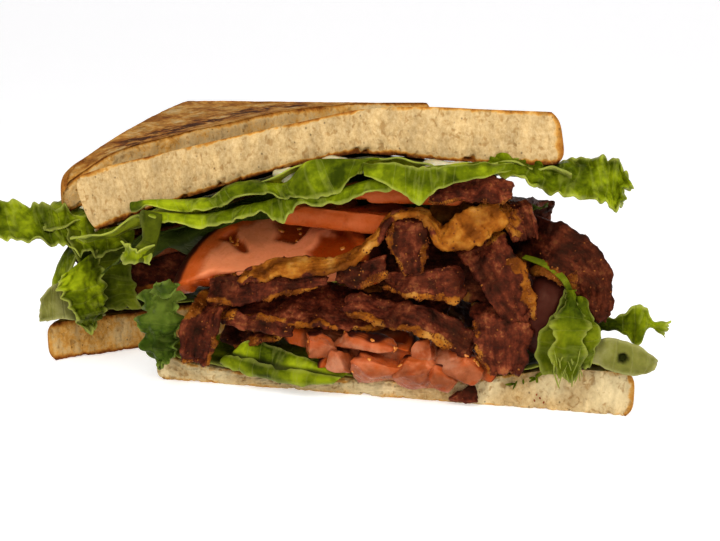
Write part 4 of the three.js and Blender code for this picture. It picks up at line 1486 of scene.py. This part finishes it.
def lettuce(name, deep, face, bright, rim_colour):
    """A leaf's material from its four greens, darkest first."""
    material, tree, shader = new_material(name)
    coordinates = node(tree, "ShaderNodeTexCoord").outputs
    rim = node(tree, "ShaderNodeAttribute", attribute_name="rim").outputs["Fac"]
    painted_shade = node(tree, "ShaderNodeAttribute", attribute_name="painted_shade").outputs["Fac"]
    drawn = node(
        tree, "ShaderNodeMapping", {"Vector": coordinates["UV"], "Scale": VEINS}
    ).outputs["Vector"]
    strands = node(
        tree, "ShaderNodeTexNoise",
        {"Vector": drawn, "Scale": 1.0, "Detail": 2.0, "Roughness": 0.6, "Distortion": 0.4},
    )
    off_middle = node(tree, "ShaderNodeMath", {0: strands.outputs["Fac"], 1: 0.5}, operation="SUBTRACT")
    off_middle = node(tree, "ShaderNodeMath", {0: off_middle.outputs[0]}, operation="ABSOLUTE")
    vein = node(
        tree, "ShaderNodeMapRange",
        {"Value": off_middle.outputs[0], "From Max": 0.035, "To Min": 1.0, "To Max": 0.0},
    )
    patches = node(
        tree, "ShaderNodeTexNoise",
        {"Vector": coordinates["Object"], "Scale": PATCHES, "Detail": 5.0, "Roughness": 0.6},
    )
    green = node(
        tree, "ShaderNodeValToRGB", {"Fac": patches.outputs["Fac"]},
        stops=[(0.36, deep), (0.5, face), (0.64, bright)],
    )
    vein_share = node(tree, "ShaderNodeMath", {0: vein.outputs[0], 1: 0.14}, operation="MULTIPLY")
    veined = node(
        tree, "ShaderNodeMixRGB",
        {"Fac": vein_share.outputs[0], "Color1": green.outputs[0], "Color2": srgb(rim_colour)},
    )
    rim_share = node(tree, "ShaderNodeMath", {0: rim, 1: 0.5}, operation="MULTIPLY")
    rimmed = node(
        tree, "ShaderNodeMixRGB",
        {"Fac": rim_share.outputs[0], "Color1": veined.outputs[0], "Color2": srgb(rim_colour)},
    )
    # Painted shade: this painted value darkens leaves that lie in shade, a crease and the sunk hole of a rib
    # towards near black.
    shaded = node(
        tree, "ShaderNodeMixRGB", {"Fac": painted_shade, "Color1": rimmed.outputs[0], "Color2": srgb("#20220C")}
    )
    tree.links.new(shaded.outputs[0], shader.inputs["Base Color"])
    shader.inputs["Roughness"].default_value = 0.45
    shader.inputs["Specular IOR Level"].default_value = 0.18
    shader.inputs["Specular Tint"].default_value = srgb("#C8CC60")
    shader.inputs["Subsurface Weight"].default_value = 0.15
    shader.inputs["Subsurface Radius"].default_value = (0.6, 1.0, 0.15)
    shader.inputs["Subsurface Scale"].default_value = 0.0012
    puckers = node(
        tree, "ShaderNodeMath", {0: vein.outputs[0], 1: -0.25, 2: patches.outputs["Fac"]},
        operation="MULTIPLY_ADD",
    )
    bumps = node(tree, "ShaderNodeBump", {"Height": puckers.outputs[0], "Distance": 0.0012, "Strength": 0.5})
    tree.links.new(bumps.outputs["Normal"], shader.inputs["Normal"])
    return material


leaf_green = lettuce("green_leaf_lettuce", "#2C3604", "#5A6408", "#8A9416", "#A8AA5A")
leaf_bright = lettuce("lettuce_heart_leaf", "#2F3A06", "#4F5809", "#6C7212", "#96984E")
# A deeper, bluer green: the corner leaf's own colour, and painted shade on the second leaf under the lid.
leaf_dark = lettuce("lettuce_deep_green_and_shade", "#232F0B", "#3A4A15", "#546124", "#78843F")
leaf_pale = lettuce("lettuce_rib", "#5A5A26", "#706E37", "#868252", "#A09C6C")
print("materials:", [leaf.name for leaf in (leaf_green, leaf_bright, leaf_dark, leaf_pale)])

# %% [markdown]
# Two whole leaves lie under the front lid. The second one droops over the crust sides, and a
# crumpled leaf fills the gap below it. These two lie in shade, so they are dimmed.

# %% Leaves under the front lid
TOP_GAP, SECOND_GAP = 3.3, 7.5
TOP_RIM = [
    (-86, -3, 57), (-72, -4, 62.3), (-58, -5, 61.7), (-54, -6, 64.8), (-48, -6, 69.4),
    (-35, -6, 71.8), (-30, -5, 74.5), (-24, -4, 77), (0, -3, 78), (24, -2, 77.8), (41, -1, 77.5),
    (54, 0, 77),
]
leaf = leaf_layer(
    lambda x, y: under_front_lid(x, y) - TOP_GAP, grow=3, shift=FRONT_TOP_SHIFT, phase=0.1,
    ruffle=1.4, front=TOP_RIM,
)
settle(leaf, "leaf_front_top", FRONT, "lettuce", leaf_green, "front_lettuce_top")
SECOND_RIM = [
    (-90, 12, 56), (-76, 18, 57), (-58, 19, 58), (-38, 18, 62), (-20, 14, 67), (8, 10, 71),
    (40, 8, 71), (58, 6, 70),
]
leaf = leaf_layer(
    lambda x, y: under_front_lid(x, y) - SECOND_GAP - 0.05 * y, grow=-5, shift=FRONT_TOP_SHIFT + 1,
    phase=0.45, ruffle=1.8, droop=8, front=SECOND_RIM,
)
crumpled = leaf_between(
    [(-66, 20, 44), (-48, 22, 48), (-28, 24, 52), (-6, 22, 55), (14, 20, 57), (32, 20, 57)],
    [(-68, 20, 56), (-48, 22, 63), (-28, 22, 68), (-6, 20, 72), (14, 18, 73), (34, 18, 73)],
    free="lower", bulge=2.0, ruffle=2.4, wave_length=11, lobes=1.0, frill=0.6, seed=1.7, cell=1.3,
)
# Painted shade: both pieces are dimmed, and they take the deeper green material too.
dim(leaf, 0.6)
dim(crumpled, 0.3)
settle(joined(leaf, crumpled), "leaf_front_second", FRONT, "lettuce", leaf_dark, "front_lettuce_second")

# %% [markdown]
# In front of both hangs a leaf that is folded over itself. Its fold, the hem below it and one
# hanging point are three strips joined, each between two lines that follow each other.

# %% The folded leaf
fold = leaf_between(
    [
        (-84, -6, 59.5), (-76, -7, 61.4), (-66, -7, 60.8), (-60, -8, 60.8), (-52.6, -8, 62.4),
        (-46, -8, 65.2), (-37, -8, 67.6), (-31, -8, 66), (-25, -9, 66), (-19, -9, 66.6),
        (-13, -8, 67.6), (-9.5, -7, 71.5), (-6, -6, 75.5),
    ],
    [
        (-84, -3, 62), (-77, -5, 63.4), (-68, -5, 63.8), (-61, -5, 64.4), (-54, -5, 65.2),
        (-50, -5, 69), (-42, -5, 70.8), (-34, -5, 70), (-29, -5, 71.5), (-24, -5, 77.2),
        (-17, -4, 78.4), (-8, -4, 78.4), (0, -3, 78.6),
    ],
    bulge=1.6, ruffle=1.3, wave_length=10, lobes=0.5, frill=0.5, seed=0.2, cell=0.8,
)
hem = leaf_between(
    [
        (-80, -8, 57.6), (-71, -8, 57), (-62.6, -8, 56.2), (-52, -9, 56.8), (-44.6, -9, 58.6),
        (-37, -9, 61), (-32.5, -10, 59), (-28.3, -10, 59.6), (-26, -9, 63.6), (-18, -9, 64.4),
        (-9.4, -9, 65.6), (-2, -9, 68.4), (6, -8, 70.2), (14, -7, 70.6), (22, -6, 72), (31, -4, 75),
    ],
    [
        (-80, -5, 60), (-72, -5, 59.6), (-62, -5, 59.2), (-51, -5, 61), (-43, -5, 63.2),
        (-38.7, -5, 64), (-34.5, -5, 65.4), (-31, -5, 67), (-27, -5, 67.8), (-18, -5, 68.4),
        (-9.4, -5, 70.4), (-1.4, -5, 72.8), (6, -5, 74.4), (14, -4, 76.4), (22, -3, 77.4),
        (31, -2, 78.4),
    ],
    bulge=1.2, ruffle=1.4, wave_length=7, lobes=0.6, frill=0.5, seed=0.6, cell=0.8,
)
point = leaf_between(
    [
        (-4, -9, 74), (3, -10, 71.5), (9, -10.5, 68.6), (13, -11, 65.8), (17, -10, 68.6),
        (23, -9, 71.6), (32, -7, 74.5), (40, -4, 76),
    ],
    [
        (-5, -7, 78), (3, -7, 78), (9, -7.5, 77.4), (13, -8, 77), (17, -7.5, 77.2), (23, -6.5, 77.6),
        (32, -5, 78), (41, -3, 78),
    ],
    free="lower upper", bulge=0.8, ruffle=1.2, wave_length=7, lobes=0.6, frill=0.2, seed=0.7, cell=0.8,
)
settle(joined(fold, hem, point), "leaf_front_fold", FRONT, "lettuce", leaf_green, "front_lettuce_fold")

# %% [markdown]
# Loose ends of leaf stick out all round the cut: a flap that hangs down at the left with a
# tuft at its end, a frill under the right end of the lid, and a corner leaf low at the left.
# Loose ends ruffle most, so they have short waves, ragged lobes and fine cells.

# %% Flap, frill and corner leaf
strip = leaf_between(
    [(-79, -8, 61), (-78.5, -10, 54), (-79.5, -11, 49), (-82, -10, 45)],
    [(-71.5, -8, 59.5), (-72, -10, 53), (-73.5, -11, 48), (-76, -10, 44)],
    free="lower end", ruffle=1.2, wave_length=5, lobes=0.8, seed=0.4, cell=0.8,
)
tuft = leaf_between(
    [(-85.5, -9, 47.5), (-84, -11, 43.8), (-79, -12, 43), (-74.5, -11, 44.5)],
    [(-84.5, -11, 49.5), (-82, -13, 48.5), (-78, -14, 48), (-74, -12, 49.5)],
    free="lower upper start end", bulge=-1.5, ruffle=1.6, wave_length=4, lobes=1.3, frill=1.0,
    seed=1.0, cell=0.55,
)
# Painted shade: the strip is dimmed, the tuft at its end is not.
dim(strip, 0.72)
settle(joined(strip, tuft), "leaf_front_flap", FRONT, "lettuce", leaf_green, "front_lettuce_flap")
leaf = leaf_between(
    [(32, 0, 76), (42, -2, 73.5), (50, 0, 70.5), (58, 1, 69), (66, 2, 67.5), (71, 2, 64), (74, 2, 66)],
    [(34, 3, 79), (42, 3, 78.5), (50, 4, 78.5), (58, 5, 78.5), (66, 5, 79.5), (71, 5, 79.5), (75, 4, 74)],
    free="lower upper end", bulge=1.5, ruffle=1.9, wave_length=4.5, lobes=1.3, frill=1.9,
    seed=1.3, cell=0.55,
)
settle(leaf, "leaf_front_frill", FRONT, "lettuce", leaf_green, "front_lettuce_frill")

face = leaf_between(
    [(-80, -7, 32), (-81, -9, 24), (-81, -9, 17), (-75, -9, 8.5)],
    [(-68, -6, 34), (-67, -8, 24), (-68, -9, 16), (-70, -9, 9.5)],
    free="lower upper start end", bulge=2.2, ruffle=2.2, wave_length=4, lobes=2.0, frill=2.0,
    seed=2.1, cell=0.5,
)
curl = leaf_between(
    [(-73, -7, 32), (-70, -10, 33), (-66.5, -9, 35)],
    [(-72, -9, 37.5), (-69, -12, 38.5), (-66, -10, 38)],
    free="lower upper start end", bulge=1.6, ruffle=1.8, wave_length=3, lobes=1.7, frill=1.8,
    seed=2.7, cell=0.45,
)
settle(joined(face, curl), "leaf_front_corner", FRONT, "lettuce", leaf_dark, "front_lettuce_corner")

# %% [markdown]
# Low at the right a leaf curls round like a cup. Its fan behind, a fold in front, a lobe and
# a stem are one strip each, and thin threads hang from its torn edge.

# %% The cup-shaped leaf
fan = leaf_between(
    [(57.6, -5, 41), (56.4, -6, 36), (53.6, -7, 31), (49.4, -8, 26), (49.8, -8.5, 20), (52.4, -8, 14)],
    [(59.6, -6, 41), (59.8, -7, 36), (59.6, -8, 31), (58, -9, 26), (58, -9, 20), (57.5, -9, 14.6)],
    free="lower end", bulge=-2.0, ruffle=1.1, wave_length=9, lobes=0.7, frill=0.6, seed=3.4, cell=0.6,
)
# Painted shade: the fan behind the fold is dimmed.
dim(fan, 0.22)
front_fold = leaf_between(
    [(58.4, -7, 41), (56.8, -9, 35), (55, -10.5, 30), (54.6, -11.5, 23), (55.6, -11, 15)],
    [(60.8, -6, 41), (63, -8, 35), (64.6, -9.5, 30), (64.2, -10, 23), (63.6, -10, 15.6)],
    free="lower upper end", bulge=1.6, ruffle=0.9, wave_length=9, lobes=1.5, frill=1.5, seed=3.95, cell=0.5,
)
lobe = leaf_between(
    [(60.6, -6, 39), (61, -7, 34), (60.6, -8, 28), (61.5, -8, 22), (62.5, -8, 16.5)],
    [(62.4, -5, 38.6), (66, -6, 33), (69.6, -6.5, 29), (68, -7, 23.5), (66.4, -7, 17.5)],
    free="upper end", bulge=1.4, ruffle=1.0, wave_length=7, lobes=1.2, frill=1.0, seed=3.6, cell=0.55,
)
threads = []
for i in range(20):
    place = (55.6 + 0.42 * i, -12.6 + 0.5 * math.sin(5 * i), 18.5 + 4 * math.sin(2.3 * i))
    threads.append((place, (0.4 * math.sin(7 * i), -0.25, -1)))
fringe = grains(threads, (0.24, 0.24, 2.4), 15, rounds=2)
paint(fringe, "rim", np.ones(len(fringe.data.vertices)))
stem = leaf_between(
    [(44, -2, 49), (51, -4, 47), (56, -6, 43.8), (58.5, -6, 40)],
    [(45, -1, 50.2), (52, -3, 48.6), (57.5, -5, 45), (60, -5, 40.5)],
    free="", ruffle=0.3, lobes=0.2, seed=4.0, cell=0.6,
)
# Painted shade: the stem is dimmed.
dim(stem, 0.3)
cup = joined(fan, front_fold, lobe, stem, fringe)
settle(cup, "leaf_front_cup", FRONT, "lettuce", leaf_bright, "front_lettuce_cup")

# %% [markdown]
# Beside the cup lies a pale rib with a hole in it, sunk and darkened with painted shade rather
# than cut, and behind it a leaf tip shows.

# %% Rib and leaf tip
leaf = leaf_between(
    [(64, -5, 19), (71, -6, 16.6), (78, -6, 15.2), (84, -5, 16.5)],
    [(65, -4, 24.5), (71, -5, 26.6), (79, -5, 25), (86, -4, 20)],
    free="lower upper end", bulge=1.4, ruffle=0.6, lobes=0.4, frill=0.25, seed=4.2, cell=0.6,
    painted_shade=((75.5, -6.8, 20.7), 1.9),
)
settle(leaf, "leaf_front_rib", FRONT, "lettuce", leaf_pale, "front_lettuce_rib")
leaf = leaf_between(
    [(64, 9, 23), (71, 7, 25), (77, 6, 25.5), (80, 5, 21.5), (83, 5, 27), (88, 4, 25.5)],
    [(64, 8, 32), (70, 6, 31), (76, 5, 31.5), (81, 4, 35), (84, 4, 31), (89, 3, 30.5)],
    free="lower upper end", bulge=0.8, ruffle=0.9, wave_length=6, lobes=1.1, frill=0.5, seed=5.6, cell=0.6,
)
settle(leaf, "leaf_front_tip", FRONT, "lettuce", leaf_green, "front_lettuce_tip")

# %% [markdown]
# The leaf on the front base is a plain layer. Its front edge is folded over, which shows as
# two narrow bands, one above the other.

# %% Leaves on the front base
leaf = leaf_layer(lambda x, y: front_base(x, y) + 1.6, grow=0, ripple=0.6, ruffle=0.8, phase=0.0)
settle(leaf, "leaf_front_bottom", FRONT, "lettuce", leaf_green, "front_lettuce_bottom")
above = leaf_between(
    [(-51, -3, 10.5), (-44, -5, 10), (-34, -6, 8.6), (-24, -6, 7.4), (-12, -5, 6.6)],
    [(-49, -1, 14), (-43, -2, 17.6), (-34, -2, 15), (-24, -2, 12), (-9, -2, 9)],
    free="lower upper", bulge=1.2, ruffle=0.8, wave_length=9, lobes=0.5, frill=0.2, seed=6.3, cell=0.8,
)
below = leaf_between(
    [(-55, -3, 8.6), (-46, -6, 6.4), (-35, -7, 5), (-24, -7, 4.6), (-15, -6, 5.4)],
    [(-53, -2, 11), (-45, -5, 12), (-34, -6, 10.4), (-24, -6, 9), (-12, -5, 7.6)],
    free="lower upper", bulge=1.4, ruffle=0.8, wave_length=8, lobes=0.6, frill=0.3, seed=6.9, cell=0.8,
)
# Painted shade: the upper band darkens towards the crease it shares with the lower band, and the lower band
# is dimmed all over.
CREASE = [(-48, 11.5), (-24, 8.5), (-12, 7.2)]
above_crease = points_of(above)[:, 2] - line_at(points_of(above)[:, 0], CREASE, 1)
paint(above, "painted_shade", 0.9 * smooth(2.2, 0.6, above_crease))
dim(below, 0.25)
bands = joined(above, below)
settle(bands, "leaf_front_bottom_fold", FRONT, "lettuce", leaf_green, "front_lettuce_bottom_fold")

# %% [markdown]
# The rear half has two leaves under its lid and one on its base. At the left a long tongue of
# leaf sticks far out, with a curled leaf and a pale rib below it.

# %% Leaves of the rear half
leaf = leaf_layer(
    lambda x, y: under_rear_lid(x, y) - TOP_GAP, grow=3, shift=REAR_TOP_SHIFT - 4, phase=0.3
)
settle(leaf, "leaf_rear_top", REAR, "lettuce", leaf_green, "rear_lettuce_top")
leaf = leaf_layer(
    lambda x, y: under_rear_lid(x, y) - 9, grow=1, shift=4, ripple=2.4, phase=0.6, droop=16
)
crumpled = leaf_between(
    [(-62, 16, 42), (-40, 18, 42), (-14, 20, 43), (14, 20, 46), (44, 14, 50)],
    [(-62, 14, 56), (-40, 16, 61), (-14, 18, 64), (14, 18, 68), (44, 12, 72)],
    free="lower", bulge=2.0, ruffle=2.4, wave_length=11, lobes=1.0, frill=0.6, seed=2.9, cell=1.4,
)
settle(joined(leaf, crumpled), "leaf_rear_second", REAR, "lettuce", leaf_green, "rear_lettuce_second")
leaf = leaf_layer(lambda x, y: SLICE_THICK + 2 + 0 * x, grow=0, ripple=0.8, ruffle=1.2, phase=0.2)
settle(leaf, "leaf_rear_bottom", REAR, "lettuce", leaf_green, "rear_lettuce_bottom")
leaf = leaf_between(
    [
        (-48, -8, 43), (-61, -9, 40), (-70, -8, 41.5), (-80, -5, 45.5), (-91, 1, 46), (-101, 4, 46),
        (-111, 8, 49),
    ],
    [
        (-46, -2, 49), (-60, -2, 52), (-72, 1, 56), (-81, 7, 58), (-91, 14, 58), (-101, 18, 56),
        (-111, 22, 54),
    ],
    free="lower upper end", bulge=1.5, ruffle=2.4, wave_length=7, lobes=2.0, frill=1.7, seed=7.7, cell=0.8,
)
settle(leaf, "leaf_rear_tongue", REAR, "lettuce", leaf_green, "rear_lettuce_tongue")
curl = leaf_between(
    [(-76, -8, 33), (-77, -11, 28), (-74, -12, 21), (-70, -11, 13)],
    [(-62, -6, 41), (-61, -9, 31), (-61, -9, 21), (-64, -9, 13)],
    free="lower upper end", bulge=2.0, ruffle=2.4, wave_length=4, lobes=1.8, frill=1.9, seed=8.8, cell=0.55,
)
inner = leaf_between(
    [(-74, -5, 50), (-70, -8, 40), (-66, -8, 28), (-62, -7, 18)],
    [(-52, -4, 46), (-50, -6, 38), (-49, -6, 28), (-48, -6, 18)],
    free="lower upper end", bulge=-2.0, ruffle=2.0, wave_length=8, lobes=1.0, frill=0.4, seed=8.2, cell=0.9,
)
# Painted shade: the inner leaf is dimmed.
dim(inner, 0.45)
settle(joined(curl, inner), "leaf_rear_curl", REAR, "lettuce", leaf_green, "rear_lettuce_curl")
leaf = leaf_between(
    [(-60, -6, 16), (-69, -8, 16.5), (-78, -8, 17.5), (-84, -6, 17)],
    [(-60, -3, 25), (-69, -4, 29), (-77, -4, 30), (-83, -4, 25)],
    free="lower upper end", bulge=2.0, ruffle=0.5, lobes=0.4, seed=9.1, cell=0.8,
)
settle(leaf, "leaf_rear_rib", REAR, "lettuce", leaf_pale, "rear_lettuce_rib")

# %% [markdown]
# Cutting the sandwich dragged shreds of leaf down over the right end of the base, and a few
# specks of tomato skin with them.

# %% Shreds and specks on the base
SHRED_LINE = [(40, -0.6, 8.4), (45, -0.6, 9.2), (49, -0.6, 11), (53, -0.6, 13)]
chance = np.random.default_rng(21)
shreds = []
for place in through(SHRED_LINE, chance.uniform(0, 1, 9)):
    place = place + chance.uniform(-1, 1, 3) * (1.6, 0, 1)
    shreds.append((place, chance.normal((0.6, -1, 0), 0.7)))
settle(grains(shreds, (1.5, 0.55, 0.3), 13, rounds=2), "leaf_shreds", FRONT, "lettuce", leaf_bright)
SPECK_PLACES = [(49.5, -0.1, 3.0), (51.2, -0.1, 3.9), (50.1, -0.1, 5.0), (52.4, -0.1, 2.6)]
specks = [(place, (0, -1, 0)) for place in SPECK_PLACES]
settle(grains(specks, (0.42, 0.3, 0.12), 14, rounds=2), "tomato_specks", FRONT, "tomato", ripe_tomato)
print(len(shreds), "shreds of leaf and", len(specks), "specks of skin")

# %% [markdown]
# Mayonnaise is an off-white, glossy paste that squeezes out where the leaf leaves it room.
# A thin spread lies under each lid; drops hang from it at the cut. Spread and drops are
# separate shapes at first, and one voxel remesh melts them into a single body.

# %% Mayonnaise
SPREAD_THICK, SPREAD_VOXEL = 1.0, 0.9
CLOUDS = 260.0  # in cells to the metre, clouds of 4 mm
mayonnaise, tree, shader = new_material("whisked_mayonnaise")
place = node(tree, "ShaderNodeTexCoord").outputs["Object"]
cloudy = node(tree, "ShaderNodeTexNoise", {"Vector": place, "Scale": CLOUDS, "Detail": 3.0})
off_white = node(
    tree, "ShaderNodeValToRGB", {"Fac": cloudy.outputs["Fac"]}, stops=[(0.3, "#A8A07C"), (0.65, "#C4BC9C")]
)
tree.links.new(off_white.outputs[0], shader.inputs["Base Color"])
shader.inputs["Roughness"].default_value = 0.28
shader.inputs["Subsurface Weight"].default_value = 0.3
shader.inputs["Subsurface Scale"].default_value = 0.002
bumps = node(tree, "ShaderNodeBump", {"Height": cloudy.outputs["Fac"], "Distance": 0.0005, "Strength": 0.3})
tree.links.new(bumps.outputs["Normal"], shader.inputs["Normal"])


def spread_under(under, shift, drops):
    """A 1 mm spread below a lid. drops are lumps at its front: (x, how far down, half sizes)."""

    def lay(u, v):
        x = CUT_END * np.sin(math.pi * (u - 0.5))
        scale = 1 - 2 / CUT_END
        y = v * half_depth(x) * scale + (1 - v) * 6
        x = x * scale + shift
        return np.c_[x, y, under(x, y) - SPREAD_THICK]

    spread, _, _ = laid_grid((100, 40), (2 * CUT_END, HALF_DIAGONAL), lay)
    apply_modifier(spread, "SOLIDIFY", thickness=SPREAD_THICK, offset=0.0)
    for x, down, half_sizes in drops:
        height = float(under(np.array(x), np.array(0.0))) - down
        bpy.ops.mesh.primitive_uv_sphere_add(
            segments=20, ring_count=12, radius=1, location=(x, 1.2, height), scale=half_sizes
        )
        spread.select_set(True)
        bpy.context.view_layer.objects.active = spread
        bpy.ops.object.join()
    spread = bpy.context.object
    apply_modifier(spread, "REMESH", mode="VOXEL", voxel_size=SPREAD_VOXEL)
    apply_modifier(spread, "SMOOTH", factor=0.5, iterations=3)
    at = points_of(spread)
    move_points(spread, at + points_of(spread, "normal") * (0.3 * lumps(at, 3.0))[:, None])
    return spread


drops = [
    (-34, 1.6, (3, 3, 2)), (-31, 3.2, (3, 3, 3.2)), (-16, 1.0, (5, 4, 1.4)), (16, 1.4, (4, 4, 1.8)),
    (24, 1.6, (6, 4, 1.8)), (33, 1.3, (5, 4, 1.5)),
]
spread = spread_under(under_front_lid, FRONT_TOP_SHIFT, drops)
settle(spread, "mayonnaise_front", FRONT, "mayonnaise", mayonnaise, "front_mayo")
drops = [(-60, 1.5, (6, 2.2, 1.5)), (-20, 1.4, (5, 2, 1.4)), (30, 1.6, (7, 2.2, 1.7))]
spread = spread_under(under_rear_lid, REAR_TOP_SHIFT, drops)
settle(spread, "mayonnaise_rear", REAR, "mayonnaise", mayonnaise, "rear_mayo")
